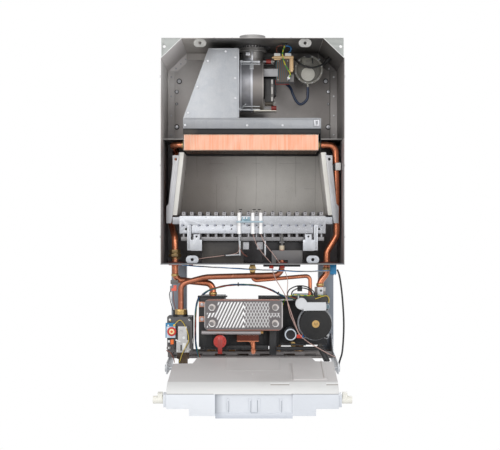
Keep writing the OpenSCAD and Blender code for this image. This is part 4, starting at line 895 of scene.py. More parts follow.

# Burner details: pressed dimples beside the plate's holes, bright posts under the rail, the
# white top of the injector's spring, and the darker holes themselves, with thin lines of
# painted shade on the plate near its ends.
dimples = bmesh.new()
holes_and_shade_lines = bmesh.new()
for step in range(18):
    x = (step - 8.5) * blade_pitch
    rod(dimples, (x - 2.2, -222.6, -435), (x - 2.2, -221.8, -435), 2.9)
    rod(holes_and_shade_lines, (x + 0.8, -222.9, -435), (x + 0.8, -222, -435), 2.1, 3)
stain(dimples, 1)
for side in (-1, 1):
    rod(dimples, (side * 149 - 1, -222.5, -444), (side * 149 - 1, -221.8, -444), 3.8)
    rods(holes_and_shade_lines, ((side * 149, -222.8, -443.4), (side * 149, -222, -443.4), 2.6),
         ((side * 125, -226.4, -460), (side * 125, -225.9, -460), 2.2))
    block(holes_and_shade_lines, (side * 142 - 0.45, -226.35, -488), (side * 142 + 0.45, -225.9, -437))
    # Thin lines of painted shade beside edges on the plate.
    for x in (136.9, 146.3):
        block(holes_and_shade_lines, (side * x - 0.4, -222.4, -452.6), (side * x + 0.4, -222, -435.5))
for x, z, radius in ((-104, -416.6, 0.9), (-66, -440.6, 1.0), (-47, -443, 1.6), (13, -439, 1.5),
                     (-18, -431.6, 1.2), (-6, -434.4, 1.3), (-84, -426, 0.6)):
    rod(holes_and_shade_lines, (x, -222.4, z), (x, -222, z), radius, 12)
blocks(dimples, ((-30, -221.6, -503), (-26.7, -219.4, -469.6), 0.4),
       ((26.6, -221.6, -503), (30, -219.4, -469.6), 0.4))
rod(dimples, (66, -212, -474), (66, -212, -471.5), 5.4, 32)
dimple_grey = finish("dimple_grey", (0.60, 0.61, 0.65), rough=0.4, metal=0.3, mottle=0.12)
settle("burner_dimples", dimples, [bright_zinc, dimple_grey], "boiler", "zinc_sheet")
hole_and_shade_dark = finish("hole_and_shade_dark", (0.13, 0.12, 0.12), rough=0.7, grime=0)
settle("burner_holes_and_shade_lines", holes_and_shade_lines, [hole_and_shade_dark], "boiler", "zinc_sheet")

# Electrodes: glazed white ceramics with steel tips, held by a bluish clip and its strap.
ceramic = finish("ceramic_glaze", (0.95, 0.94, 0.93), rough=0.18, mottle=0.04, cloud=60,
                 grain=0.05, coat=0.5, grime=0.08, paint=patches(
                     ((None, None, -406.8), no_limit, (0.62, 0.60, 0.58)),
                     ((-37, None, -430), (-34.6, None, -424), (0.70, 0.76, 0.80)),
                     ((22.6, None, -430), (26, None, -424), (0.70, 0.76, 0.80)),
                     ((-37, None, -429.2), (26, -230.9, -424.8), (0.62, 0.70, 0.74)),
                     ((-24.2, None, -425.2), (-5.4, None, -415.8), (0.52, 0.64, 0.69))))
dress("electrodes", [ceramic], edge=0.5)
tips = bmesh.new()
for x, reach in ((-29.8, 6.4), (0.6, 6.8), (18.4, -6.8)):
    rods(tips, ((x - math.copysign(0.8, reach), -226, -399.6), (x + reach, -226, -399.6), 1.0, 16),
         ((x, -226, -405.8), (x, -226, -398.8), 0.9, 16))
settle("electrode_tips", tips, [hole_and_shade_dark], "boiler", "zinc_sheet")
sleeves = bmesh.new()
for x in (-29.8, 0.6, 18.4):
    for low_z, high_z, radius in ((-453.9, -430.2, 4.6), (-423.8, -413.5, 4.5)):
        rod(sleeves, (x, -226.2, low_z), (x, -226.2, high_z), radius, 40, tip=radius - 0.7)
clear_white = finish("ceramic_white", (0.97, 0.965, 0.96), rough=0.2, mottle=0.03, coat=0.5,
                     grime=0.05)
settle("ceramic_sleeves", sleeves, [clear_white], "boiler", "zinc_sheet")
# Two painted glints on the clip, as small bright discs.
glints = bmesh.new()
for x in (-19, -13):
    rod(glints, (x, -224.6, -418.6), (x, -223.2, -418.6), 1.7, 20)
settle("clip_glints", glints, [clear_white], "boiler", "zinc_sheet")


# Copper pipes: drawn tube, bent cold, with the dull brown that heat leaves near the burner
# and bright scratches where they pass the floor. Rubber collars seal them in the sheet.
def tarnish(place, tone):
    dull = place.noise(28, 6.0).ramp(0.47, 5) * 0.45
    bright = place.noise(75, 5.0).ramp(0.60, 9) * 0.5
    return bright.tint(dull.tint(tone, (0.52, 0.31, 0.23)), (0.93, 0.66, 0.52))


pipe_copper = finish("pipe_copper", (0.88, 0.54, 0.39), rough=0.24, metal=0.8, mottle=0.12,
                     cloud=40, grain=0.12, paint=tarnish, grime=0.15)
for pipe in ("flow_pipe", "return_pipe"):
    dress(pipe, [pipe_copper], edge=0, rounds=1)
thin_copper = finish("thin_copper", (0.90, 0.56, 0.41), rough=0.26, metal=0.7, mottle=0.12,
                     cloud=40, grain=0.12, grime=0.15, paint=patches(
                         ((-36, -216, -694.2), (15, -205, -681), (0.36, 0.15, 0.11)),
                         ((-36, -212.1, -694.3), (15, -205, None), (0.40, 0.20, 0.15)),
                         first=tarnish))
red_copper = finish("gas_copper", (0.72, 0.45, 0.34), rough=0.33, metal=0.7, mottle=0.14,
                    cloud=50, grain=0.12, paint=tarnish, grime=0.2)
dress("gas_pipe", [red_copper], edge=0, rounds=1)
dress("thin_pipe", [thin_copper], edge=0, rounds=1)
grommet = finish("grommet_rubber", (0.40, 0.12, 0.10), rough=0.7, mottle=0.12, grain=0.5,
                 grime=0.1, paint=patches(
                     (no_limit, (50, None, -522.2), (0.72, 0.24, 0.18))))
dress("pipe_grommets", [grommet], edge=1.0, steps=3)
brass = finish("nut_brass", (0.80, 0.67, 0.43), rough=0.3, metal=0.75, mottle=0.12,
               cloud=110, grain=0.2, grime=0.2)
clip_steel = finish("connector_grey", (0.86, 0.86, 0.87), rough=0.38, metal=0.2,
                    mottle=0.1, grime=0.15, paint=patches(
                        (no_limit, (146.6, None, None), (0.46, 0.44, 0.43)),
                        ((159.4, None, None), (None, None, -583), (0.50, 0.48, 0.47)),
                        ((159.4, None, -583), no_limit, (0.70, 0.68, 0.66))))
coupling_brass = finish("coupling_brass", (0.52, 0.42, 0.25), rough=0.34, metal=0.7, mottle=0.2,
                        cloud=110, grime=0.3)
dress("pipe_nuts", [brass, clip_steel, coupling_brass], edge=0.9, steps=3,
      pick=lambda low, high: 1 if low.x > 140 else 2 if low.z > -520 else 0)

# Around the pipes: the coupling's thread rings, rubber pads on the floor and under it, the
# quick connector's hole, the clip-on thermostat, the white sensor clipped on the return pipe,
# and the brass sockets of the pipe joints.
thread_rings = bmesh.new()
for step in range(6):
    z = -510.5 + step * 3.1
    rod(thread_rings, (-174.6, -190, z), (-174.6, -190, z + 1.5), 12.6 - abs(step - 2.5) * 0.8,
        40, tip=11.8 - abs(step - 2.5) * 0.8)
settle("coupling_threads", thread_rings, [brass], "boiler", "nut_brass")
pads = bmesh.new()
rod(pads, (66, -228, -530), (66, -228, -525), 6.5, 32, tip=5.6)
rod(pads, (42, -233, -531), (42, -233, -525), 5.4, 32, tip=4.6)
stain(pads, 2)
block(pads, (24, -232, -527.4), (107, -206, -522.2), edge=1.6, steps=3)
rod(pads, (154.6, -201.6, -582), (154.6, -200.9, -582), 2.5, 24)
block(pads, (140, -214, -594), (146, -196, -586.6), edge=0.6)
stain(pads, 1)
for x, reach in ((-174.6, 20.5), (173.5, 21.5)):
    made = rod(pads, (0, 0, -0.6), (0, 0, 0.6), reach, 48)
    bmesh.ops.scale(pads, verts=made, vec=(1, 0.75, 1))
    bmesh.ops.translate(pads, verts=made, vec=(x / 1000, -0.190, -0.5186))
pad_red = finish("pad_red", (0.34, 0.10, 0.09), rough=0.7, mottle=0.12, grime=0.1)
pad_orange = finish("pad_orange", (0.74, 0.24, 0.18), rough=0.6, mottle=0.1, grime=0.1)
settle("floor_pads", pads, [pad_red, trim_black, pad_orange], "boiler", "wire_sleeve")
thermostat = bmesh.new()
blocks(thermostat, ((-178.2, -209, -582.4), (-170.9, -200.5, -569.4), 0.8),
       ((-182.2, -209, -582.4), (-177, -200.5, -576.2), 0.7))
stain(thermostat, 1)
blocks(thermostat, ((-184.6, -207.5, -566.8), (-167.4, -199, -558), 0.8),
       ((-185.4, -206, -585), (-182.8, -200.5, -571), 0.5))
clip_coral = finish("clip_coral", (0.94, 0.42, 0.33), rough=0.42, mottle=0.07, grime=0.08)
settle("pipe_thermostat", thermostat, [trim_grey, clip_coral], "boiler", "nut_brass")
sensor = bmesh.new()
pipe_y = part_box("return_pipe")[0].y * 1000
blocks(sensor, ((180.6, pipe_y - 1.5, -309), (185.6, pipe_y + 8, -296), 0.8),
       ((185.4, pipe_y - 3.5, -311), (187.2, pipe_y - 1, -293), 0.5))
stain(sensor, 1)
block(sensor, (187, pipe_y - 5, -310.6), (199.4, pipe_y + 4, -293.4), edge=1.2, steps=3)
white_moulded = finish("white_moulded", (0.88, 0.87, 0.85), rough=0.42, mottle=0.06, grime=0.2)
settle("pipe_sensor", sensor, [white_moulded, trim_black], "boiler", "nut_brass")


def collar(shape, middle, inner, outer, half, sides=32):
    """Adds a ring round an upright pipe: an inner radius, which is not used, an outer radius, and
    half its height.
    """
    x, y, z = middle
    made = rod(shape, (x, y, z - half), (x, y, z + half), outer, sides)
    bmesh.ops.bevel(shape, geom=list({e for v in made for e in v.link_edges
                                      if abs(e.verts[0].co.z - e.verts[1].co.z) < 1e-7}),
                    offset=half * 0.0006, offset_type="OFFSET", segments=3, profile=0.5,
                    affect="EDGES", clamp_overlap=True, material=-1)


joints = bmesh.new()
for middle, outer in [((-175.5, -190, -547), 8.6), ((168, -190, -533), 8.6),
                      ((-89.5, -190, -589), 9.2), ((153, -190, -569), 8.8)]:
    collar(joints, middle, 7.5, outer, 3.5)
for x in (-157.6, 151.2):
    rod(joints, (x - 2.4, -190, -252.5), (x + 2.4, -190, -252.5), 9.4, 32)
settle("pipe_sockets", joints, [brass], "boiler", "nut_brass")

# Gas valve: a dark cast body with a light cover, a blue coil, a red adjuster with its beige
# centre, an orange plug and the brass tail below.
valve_cast = finish("valve_cast", (0.36, 0.355, 0.36), rough=0.55, metal=0.3, mottle=0.14,
                    cloud=90, grain=0.9, fine=900, grime=0.25, paint=patches(
                        (no_limit, (None, -222.05, None), (0.79, 0.785, 0.78)),
                        ((-171, None, -691), (-166.4, -222.05, -655), (0.17, 0.165, 0.165)),
                        ((-146.6, None, -691), (-141, -222.05, -655), (0.30, 0.295, 0.29)),
                        ((-165, -226, -678.5), (-153, None, -667.5), (0.30, 0.29, 0.29))))
dress("gas_valve", [valve_cast], edge=1.4, steps=3)


def valve_colours(place, tone):
    teal, cap_middle = (0.03, 0.46, 0.64), place.away(-180.2, -672) < 0.0027
    return patches(
        ((None, None, -661), (None, None, -652), teal),
        ((None, None, -687), (-192, None, -652), teal),
        (no_limit, (None, -230.06, None), (0.76, 0.17, 0.14)),
        (no_limit, (None, -234.06, None), (0.93, 0.84, 0.62)),
        (no_limit, (None, -234.06, None), (0.88, 0.28, 0.13), cap_middle),
        ((-184, None, -702), (-175, None, -689), (0.95, 0.45, 0.17)),
        ((None, None, -715), (-181, None, -703), (0.40, 0.38, 0.37)),
        ((None, None, -740), (-179, None, -718.8), (0.40, 0.385, 0.38)))(place, tone)


valve_trim = finish("valve_trim", (0.80, 0.87, 0.92), rough=0.35, mottle=0.08, cloud=90,
                    grime=0.1, paint=valve_colours)
tail_dark = finish("tail_dark", (0.36, 0.27, 0.18), rough=0.42, metal=0.6, mottle=0.2,
                   cloud=120, grime=0.4)
dress("gas_valve_fittings", [valve_trim, tail_dark], edge=0.8, steps=3,
      pick=lambda low, high: int(low.z < -760))
white_part = finish("white_part", (0.90, 0.90, 0.89), rough=0.4, mottle=0.06, grime=0.1)
valve_parts = bmesh.new()
for x, z in [(-185, -646), (-141, -646), (-141, -713)]:
    rod(valve_parts, (x, -223.6, z), (x, -221.9, z), 2.7, sides=6)
for x, z in [(-163.4, -664), (-149.5, -664), (-167.4, -715.5), (-144.5, -715.5)]:
    rod(valve_parts, (x, -229.6, z), (x, -228.9, z), 1.4, sides=20)
rod(valve_parts, (-153.4, -229.7, -686), (-153.4, -228.9, -686), 3.2, 32)
block(valve_parts, (-156.4, -230.2, -713), (-148.6, -228.9, -697.5), edge=0.6)
rods(valve_parts, ((-171.8, -229.4, -690.5), (-160.6, -229.8, -695.8), 1.7, 16),
     ((-188, -230.6, -658.4), (-188, -229.9, -658.4), 1.9, 24),
     ((-187.2, -226.8, -709), (-187.2, -225.9, -709), 1.7, 24))
blocks(valve_parts, ((-189.5, -226, -697), (-184.6, -222, -691.5), 0.5),
       ((-135.6, -212, -700), (-133.6, -176, -690), 0.5))
settle("gas_valve_screws", valve_parts, [white_part], "boiler", "valve_body")
valve_dark = bmesh.new()
rods(valve_dark, ((-174.6, -232.6, -657.9), (-174.6, -229.9, -657.9), 2.5, 24),
     ((-183.4, -224.2, -648.2), (-183.4, -221.9, -648.2), 1.6, 24))
stain(valve_dark, 1)
blocks(valve_dark, ((-175.8, -227.4, -712), (-172.6, -222, -687), 0.5),
       ((-160.8, -230.0, -714.6), (-157.9, -228.9, -702), 0.4))
rods(valve_dark, ((-186.4, -225.4, -690.2), (-186.4, -221.9, -690.2), 3.6, 32),
     ((-177.6, -225.4, -688.4), (-177.6, -221.9, -688.4), 3.0, 32))
rod(valve_dark, (-163, -199, -640), (-163, -199, -625.5), 17, 40, tip=16)
block(valve_dark, (-142, -223.6, -647), (-135.6, -221.6, -639.6), edge=0.6)
plug_yellow = finish("plug_yellow", (0.86, 0.72, 0.30), rough=0.4, mottle=0.08, grime=0.1)
settle("gas_valve_plugs", valve_dark, [trim_black, plug_yellow], "boiler", "valve_body")

# Water block: a black glass-filled moulding with ribs and a parting line, screwed together.
# Decks, towers and the duct between them carry every pipe of the boiler's water side.
moulded_black = finish("moulded_black", (0.13, 0.13, 0.135), rough=0.48, mottle=0.12,
                       cloud=60, grain=0.9, fine=1300, spread=0.18, grime=0.3)
dress("water_block", [moulded_black], edge=1.6, steps=3)
ribs = bmesh.new()
for step in range(5):
    block(ribs, (-117 + step * 12.2, -204.3, -706), (-114.8 + step * 12.2, -202.0, -672),
          edge=0.5)
for step in range(6):
    block(ribs, (-52 + step * 19, -181.2, -707), (-49.6 + step * 19, -179.0, -675), edge=0.5)
for step in range(4):
    block(ribs, (102 + step * 18, -95, -604), (104 + step * 18, -61, -596.5), edge=0.4)
block(ribs, (-118, -197, -715.5), (36, -192, -706), edge=0.8)
for step in range(9):
    block(ribs, (-114 + step * 17.5, -198.6, -715), (-106 + step * 17.5, -196.6, -707), edge=0.6)
rods(ribs, ((54, -215, -711), (160, -215, -711), 4.3, 28),
     ((64, -211, -702.5), (120, -211, -702.5), 2.6, 24),
     ((150, -207, -704), (168, -217, -741), 6.6, 32))
block(ribs, (101, -204, -583.5), (112, -198, -571), edge=1.2)
settle("block_ribs", ribs, [moulded_black], "boiler", "block_plastic")

# Plate exchanger for hot water: thin stainless plates brazed together with copper, their
# herringbone pressed into the front plate. The right half shows both directions crossed.
plate_x, plate_z, face_y = -20, -635, -233.0
half_w, half_h, corner_r = 87.3, 34.3, 11.0
port_places = [(x, z) for x in (-90.3, 51.5) for z in (-618.4, -655)]
flat, raised = 0.15, 1.25
left_pitch, right_pitch = 7.3, 6.8


def within_one(value):
    return max(0.0, min(1.0, value))


def ridge(along, pitch):
    return math.cos(along * 2 * math.pi / pitch)


def pressed_height(x, z):
    """How far the pressed face stands out, in mm, at a point of the front plate."""
    inset = min(x + 107.5, 67.5 - x, z + 669.5, -600.5 - z)
    for port_x in (-89.5, 50.5):
        for port_z in (-617.5, -652.5):
            inset = min(inset, 2.0 + (math.hypot(x - port_x, z - port_z) - 9.0))
    fade = within_one((inset - 4.5) / 3.0)
    rise = 0.48 * (z + 669.5)
    for port_x, port_z in port_places:
        away = math.hypot(x - port_x, z - port_z)
        if away < 9.6:
            return raised if 5.0 < away < 7.2 else 0.35 if away <= 5.0 else flat
    if x < -19.6:
        if x - rise < -106 and abs(z + 636) > 6:
            return fade * flat
        return fade * (flat + 1.25 * within_one((ridge(x - rise + 3, left_pitch) + 0.35) * 1.3))
    if x < -16.8:
        return fade * (raised if ridge(x + rise + 1, left_pitch) > 0.2 else flat)
    if x > 38 and abs(z + 636) > 6:
        return fade * flat
    wave = max(ridge(x - rise, right_pitch), ridge(x + rise, right_pitch))
    return fade * (flat + within_one((wave - 0.42) * 1.7))


skin = bmesh.new()
bmesh.ops.create_grid(skin, x_segments=174, y_segments=68, size=0.5)
bmesh.ops.scale(skin, verts=skin.verts, vec=(half_w / 500, half_h / 500, 1))
bmesh.ops.rotate(skin, verts=skin.verts, matrix=Matrix.Rotation(math.radians(90), 3, "X"))
for corner in skin.verts:
    across, up = corner.co.x * 1000, corner.co.z * 1000
    reach = Vector((max(0, abs(across) - half_w + corner_r), max(0, abs(up) - half_h + corner_r)))
    if reach.length > corner_r:
        reach = reach * (corner_r / reach.length)
        across = math.copysign(half_w - corner_r + reach.x, across)
        up = math.copysign(half_h - corner_r + reach.y, up)
    x, z = plate_x + across, plate_z + up
    corner.co = Vector((x, face_y - 0.05 - pressed_height(x, z), z)) / 1000
bmesh.ops.remove_doubles(skin, verts=skin.verts, dist=1e-7)
rim = bmesh.ops.extrude_edge_only(skin, edges=[e for e in skin.edges if e.is_boundary])
walls = [v for v in rim["geom"] if isinstance(v, bmesh.types.BMVert)]
bmesh.ops.translate(skin, verts=walls, vec=(0, 0.0016, 0))
bmesh.ops.holes_fill(skin, edges=[e for e in skin.edges if e.is_boundary], sides=0)


# The pressed ridges are painted lighter at their tops and darker in the valleys, as light and
# shade; the copper of the brazing shows round the rim.
def ridge_tops(place, tone):
    height = place.y.ramp(-0.23325, -1150)
    height = height - height * (place.x > -0.0168) * 0.34
    tone = height.mix(linear((0.43, 0.41, 0.41)), linear((0.97, 0.965, 0.96)))
    within_rim = inside(place, (None, None, -667.8), (None, None, -602.4))
    tone = within_rim.mix(linear((0.66, 0.43, 0.36)), tone)
    ends = (place.x > 0.0652) * 0.7 + (place.x < -0.1056) * 0.4
    return (ends * (place.y < -0.2322)).tint(tone, (0.90, 0.88, 0.87))


brazed = finish("brazed_plate", (0.70, 0.68, 0.67), rough=0.3, metal=0.25, mottle=0.1,
                cloud=45, grain=0.15, paint=ridge_tops, grime=0.1)
settle("pressed_plate", skin, [brazed], "boiler", "exchanger_steel", smooth=60)


def plate_edges(place, tone):
    lines = ((place.y * 2856).sine() > 0.35) * (place.y > -0.2324) * 0.8
    tone = lines.tint(tone, (0.80, 0.50, 0.36))
    for port_x, port_z in port_places:
        disc = (place.away(port_x - 1.2, port_z) < 0.0050) * (place.y < -0.2324) * 0.75
        tone = disc.tint(tone, (0.42, 0.41, 0.41))
    return tone


def plate_steps(place):
    return (place.y * 2856).sine() * (place.y > -0.2324)


stacked = finish("stacked_plates", (0.76, 0.73, 0.71), rough=0.32, metal=0.6, mottle=0.1,
                 cloud=60, paint=plate_edges, relief=plate_steps, depth=0.0008, grime=0.15)
dress("plate_exchanger", [stacked], edge=0.8, steps=3)

# Relief valve: a brass body with a red moulded cap. Turning the cap by its lever opens the
# valve, and studs round the cap's face give the fingers a hold.
dress("relief_valve", [brass], edge=0.6)
red_cap = finish("cap_red", (0.74, 0.20, 0.16), rough=0.34, mottle=0.08, cloud=60, grain=0.1,
                 coat=0.2, grime=0.12, paint=patches(
                     ((-78, None, None), (-67, None, -690), (0.62, 0.19, 0.16))))
dress("relief_cap", [red_cap], edge=1.3, steps=4)
cap_face = bmesh.new()
for x, z in circle(-72.7, -694.6, 10.6, range(0, 360, 36)):
    rod(cap_face, (x, -231.0, z), (x, -230.6, z), 1.3, sides=12)
block(cap_face, (-77.4, -231.6, -722), (-67.8, -230.4, -684), edge=1.1)
settle("cap_studs", cap_face, [red_cap], "relief_lever", "cap_red")

# Small fittings: the plated bypass tube with its brass end, the pressure sensor with its red
# and blue plug, the filling tap and the exchanger's screws.
def fitting_tones(place, tone):
    away = place.away(85.3, -679.7)
    tone = (away < 0.0136).tint(tone, (0.76, 0.79, 0.82))
    tone = (away < 0.0104).tint(tone, (0.12, 0.12, 0.13))
    tube_low, tube_high = (-120, None, -680), (18.3, None, -669)
    return patches(
        (tube_low, tube_high, (0.68, 0.66, 0.66)),
        (tube_low, tube_high, (0.36, 0.33, 0.33), place.z.ramp(-0.6745, 320) * 0.65),
        ((18.4, None, -680), (26, None, -669), (0.66, 0.50, 0.28)),
        ((98.5, None, -692), (111.4, None, -676), (0.84, 0.26, 0.19)),
        ((111.2, None, -692), (118, None, -676), (0.12, 0.45, 0.70)))(place, tone)


fitting_grey = finish("fitting_grey", (0.80, 0.80, 0.81), rough=0.34, metal=0.35, mottle=0.1,
                      cloud=80, grime=0.1, paint=fitting_tones)
fitting_black = finish("fitting_black", (0.15, 0.15, 0.155), rough=0.45, mottle=0.1,
                       grain=0.6, grime=0.25)
dress("block_fittings", [fitting_grey, fitting_black, brass], edge=0.7, steps=3,
      pick=lambda low, high: 1 if low.z < -720 else 2 if low.z < -708 else 0)

# Circulating pump: a light cast housing with a flange ring and four screws, and a black
# motor with a flat top, a brass vent plug and a pale terminal cover.
pump_cast = finish("pump_cast", (0.66, 0.67, 0.685), rough=0.5, metal=0.35, mottle=0.1,
                   cloud=70, grain=0.8, fine=1000, grime=0.25)
dress("pump_housing", [pump_cast], edge=1.0, steps=3)
pump_x, pump_z = 141, -655


def pump_rings(place):
    away = place.away(pump_x, pump_z)
    ring = ((away - 0.0285).size() < 0.0008) + ((away - 0.0175).size() < 0.0006)
    return ring * -1.2


motor_black = finish("motor_black", (0.05, 0.05, 0.055), rough=0.62, mottle=0.1, cloud=50,
                     grain=0.4, spread=0.06, relief=pump_rings, depth=0.0009, grime=0.03,
                     paint=patches(
                         ((95, None, -625.1), (166, None, None), (0.83, 0.835, 0.84)),
                         ((95, None, None), (99.6, None, -600), (0.83, 0.835, 0.84)),
                         ((95, None, -626), (120, None, None), (0.83, 0.835, 0.84)),
                         ((132, None, -665), (150, -234.03, -645), (0.78, 0.63, 0.38))))
dress("pump_motor", [motor_black], edge=1.2, steps=3)
dress("pump_wheel", [rivet_steel], edge=0.3)
pump_parts = bmesh.new()
for x, z in circle(pump_x, pump_z, 40.5, (50, -50, 130, -130)):
    rod(pump_parts, (x, -199.5, z), (x, -195.8, z), 3.4, sides=6)
rib_radius, flat_top = 35.2, 0.80
for x, z in circle(pump_x, pump_z, rib_radius, [turn * 360 / 28 for turn in range(28)]):
    if z <= pump_z + flat_top * rib_radius:
        rod(pump_parts, (x, -214, z), (x, -197, z), 0.9, sides=8)
settle("pump_screws", pump_parts, [motor_black], "boiler", "pump_black")
vent_marks = bmesh.new()
for x, z, tall in ((138.5, -654, 4.6), (141.4, -656, 5.4), (144.2, -654, 4.6)):
    block(vent_marks, (x - 0.6, -235.3, z - tall / 2), (x + 0.6, -234.9, z + tall / 2), edge=0.1)
vent_brown = finish("vent_brown", (0.40, 0.27, 0.16), rough=0.4, metal=0.5, mottle=0.15)
settle("vent_slots", vent_marks, [vent_brown], "boiler", "pump_black")
terminal = bmesh.new()
rod(terminal, (109.5, -233.0, -610), (109.5, -231.9, -610), 9.6, sides=48, tip=10.2)
rod(terminal, (109.5, -233.8, -610), (109.5, -232.9, -610), 6.0, sides=48, tip=6.4)
block(terminal, (101.4, -226, -600), (103.6, -222, -592.6), edge=0.6)
rod(terminal, (168.4, -214.5, -617.4), (168.4, -211, -617.4), 4.8, sides=28, tip=5.4)
rod(terminal, (169.6, -206, -682), (169.6, -202.5, -682), 3.2, sides=28, tip=3.6)
terminal_grey = finish("terminal_grey", (0.84, 0.845, 0.85), rough=0.4, mottle=0.05, grime=0.08,
                       paint=patches(((166, None, None), (176, -214.4, None),
                                      (0.42, 0.52, 0.56))))
settle("terminal_cover", terminal, [terminal_grey], "boiler", "pump_black")

# Bottom crossbar: a painted steel channel, open at the top, with six slots in its front. Six
# brass tails pass through its floor, threaded at their lower ends for the house's pipes.
bar_paint = finish("bar_paint", (0.56, 0.54, 0.535), rough=0.5, metal=0.2, mottle=0.16,
                   cloud=30, grime=0.3, paint=patches(
                       ((None, None, -738.6), (None, None, -735.4), (0.16, 0.15, 0.15), 0.7)))
dress("frame_bottom_bar", [bar_paint], edge=0.4)


def threads(place):
    return (place.z * 4488).sine() * (place.z < -0.7552)


tail_brass = finish("tail_brass", (0.70, 0.52, 0.33), rough=0.32, metal=0.7, mottle=0.2,
                    cloud=90, relief=threads, depth=0.0007, grime=0.35)
dress("connection_tails", [tail_brass], edge=0.8, steps=3)

# Hinge arms: two arms folded from zinc sheet and fixed to the frame, with the pins that the
# control box turns on. They let it swing down in front for service.
dress("hinge_arms", [bright_zinc], edge=0.5)

# Rear cover of the control box: a warm grey moulded tray with a raised square, a blank pressed
# field, two slots along its far edge and screws at its corners.
hinge_place = (0, -0.265, -0.750)
open_angle = math.radians(11.2)
open_turn = Matrix.Translation(hinge_place) @ Matrix.Rotation(open_angle, 4, "X")


def opened(place):
    """The point measured about the hinge axis, as the closed box lies flat."""
    return place.add("Mapping", {"vector_type": "TEXTURE"}, {
        "Vector": place, "Location": hinge_place, "Rotation": (open_angle, 0, 0)})


def cover_marks(place, tone):
    place = opened(place)
    tone = (place.y.ramp(-0.1655, -260) * 0.8).tint(tone, (0.90, 0.90, 0.89))
    rows = [((147.4, -150, None), (149.2, -30, None), (0.60, 0.55, 0.51), 0.55)]
    # Each slot is painted as a darker band with a painted highlight along its upper edge.
    for left, right in ((37, 76), (152, 186)):
        rows += [((left, None, 19.6), (right, -164, 20.9), (0.58, 0.53, 0.49), 0.6),
                 ((left, None, 20.9), (right, -164, 22.0), (0.97, 0.97, 0.96), 0.9)]
    # Painted shade along the cover's joint with the front panel, at both sides.
    for low_x, high_x in ((None, -79.5), (79.5, None)):
        rows.append(((low_x, None, None), (high_x, -182, 7.2), (0.36, 0.36, 0.37), 0.7))
    return patches(*rows)(place, tone)


def cover_field(place):
    place = opened(place)
    outer = inside(place, (-58, -92, 20), (60, 10, None))
    inner = inside(place, (-56.2, -90.2, 20), (58.2, 10, None))
    return outer * 1.2 - inner * 1.2


cover_grey = finish("cover_grey", (0.80, 0.785, 0.775), rough=0.55, mottle=0.03, cloud=7,
                    grain=0.55, fine=1500, paint=cover_marks, relief=cover_field, depth=0.0011,
                    grime=0.08)
dress("box_rear_cover", [cover_grey], edge=1.6, steps=4)


def on_box(name, shape, finishes, slot, body="control_box", smooth=38):
    """Settles a shape drawn about the hinge axis into the open service place."""
    bmesh.ops.transform(shape, matrix=open_turn, verts=shape.verts)
    return settle(name, shape, finishes, body, slot, smooth)


cover_lines = bmesh.new()
for low, high in (((-57.4, -92, 22.7), (-56.4, 6, 23.5)), ((58.6, -92, 22.7), (59.6, 6, 23.5)),
                  ((-57.4, -92.6, 22.7), (59.6, -91.6, 23.5)),
                  ((80.2, -156, 22.7), (82.4, -38, 24.4)), ((148, -150, 25.9), (150, -30, 26.7))):
    block(cover_lines, low, high, edge=0.3)
rod(cover_lines, (0, -115, 22.6), (0, -115, 23.9), 2.6, 24, tip=2.0)
on_box("cover_ridges", cover_lines, [cover_grey], "cover_plastic")

# Front of the control box: white moulded panel with a deeper middle, side blocks, a recess
# between four ribs, knobs, a gauge and the catches' seats.
def fascia_light(place, tone):
    """The front face and its recess, painted in softer light than the top: painted shade inside
    the recess's left edge and on the lip below, painted shadows beside the four ribs and a
    darker line linking the middle two, and the recess and right block a little darker.
    """
    place = opened(place)
    recess_low, recess_high = (-76.8, None, None), (83.2, -176, None)
    rows = [(recess_low, recess_high, (0.80, 0.815, 0.84), 0.35),
            (recess_low, recess_high, (0.58, 0.60, 0.63), place.x.ramp(-0.060, -62), 0.75),
            ((83.2, None, None), (None, -176, None), (0.78, 0.795, 0.82), 0.5),
            (recess_low, recess_high, (0.74, 0.76, 0.80), place.z.ramp(-0.031, -160), 0.55)]
    for x in (-49.1, -3.6, 10.4, 59.2):
        rows.append(((x - 0.9, None, -31), (x + 0.9, -176, -7), (0.62, 0.64, 0.67), 0.7))
    rows.append(((-3.6, None, -32), (10.4, -176, -30.4), (0.66, 0.68, 0.71), 0.5))
    return patches(*rows)(place, tone)


fascia_white = finish("fascia_white", (0.895, 0.905, 0.92), rough=0.36, mottle=0.03, cloud=12,
                      grain=0.25, fine=1400, coat=0.1, grime=0.05, paint=fascia_light)
dress("box_fascia", [fascia_white], edge=1.4, steps=4)
panel_parts = bmesh.new()
block(panel_parts, (-60.5, -158.5, -43.2), (2.5, -113.5, -40.6), edge=0.8)
on_box("blank_plate", panel_parts, [fascia_white], "fascia_plastic")
dial_x, dial_y = 46, -135


def dial_rings(place, tone):
    place = opened(place)
    away = place.away(dial_x, dial_y, (0, 1))
    band = (away > 0.0125) * (away < 0.0148) * 0.85
    return patches((no_limit, (dial_x, None, None), (0.15, 0.36, 0.62), band),
                   ((dial_x, None, None), no_limit, (0.76, 0.20, 0.17), band))(place, tone)


dial_white = finish("dial_white", (0.93, 0.93, 0.92), rough=0.4, mottle=0.02, paint=dial_rings,
                    grime=0.05)
gauge = bmesh.new()
rod(gauge, (dial_x, dial_y, -42.4), (dial_x, dial_y, -41.2), 16.6, sides=72)
on_box("gauge_dial", gauge, [dial_white], "fascia_plastic")
black_moulded = finish("black_moulded", (0.12, 0.12, 0.125), rough=0.45, mottle=0.1, grain=0.5,
                       grime=0.12)
needle = bmesh.new()
block(needle, (dial_x - 0.7, -137, -43.4), (dial_x + 0.7, -123.5, -42.9), edge=0.15)
rod(needle, (dial_x, dial_y, -43.8), (dial_x, dial_y, -42.4), 2.4, sides=28)
on_box("gauge_needle", needle, [black_moulded], "fascia_plastic")

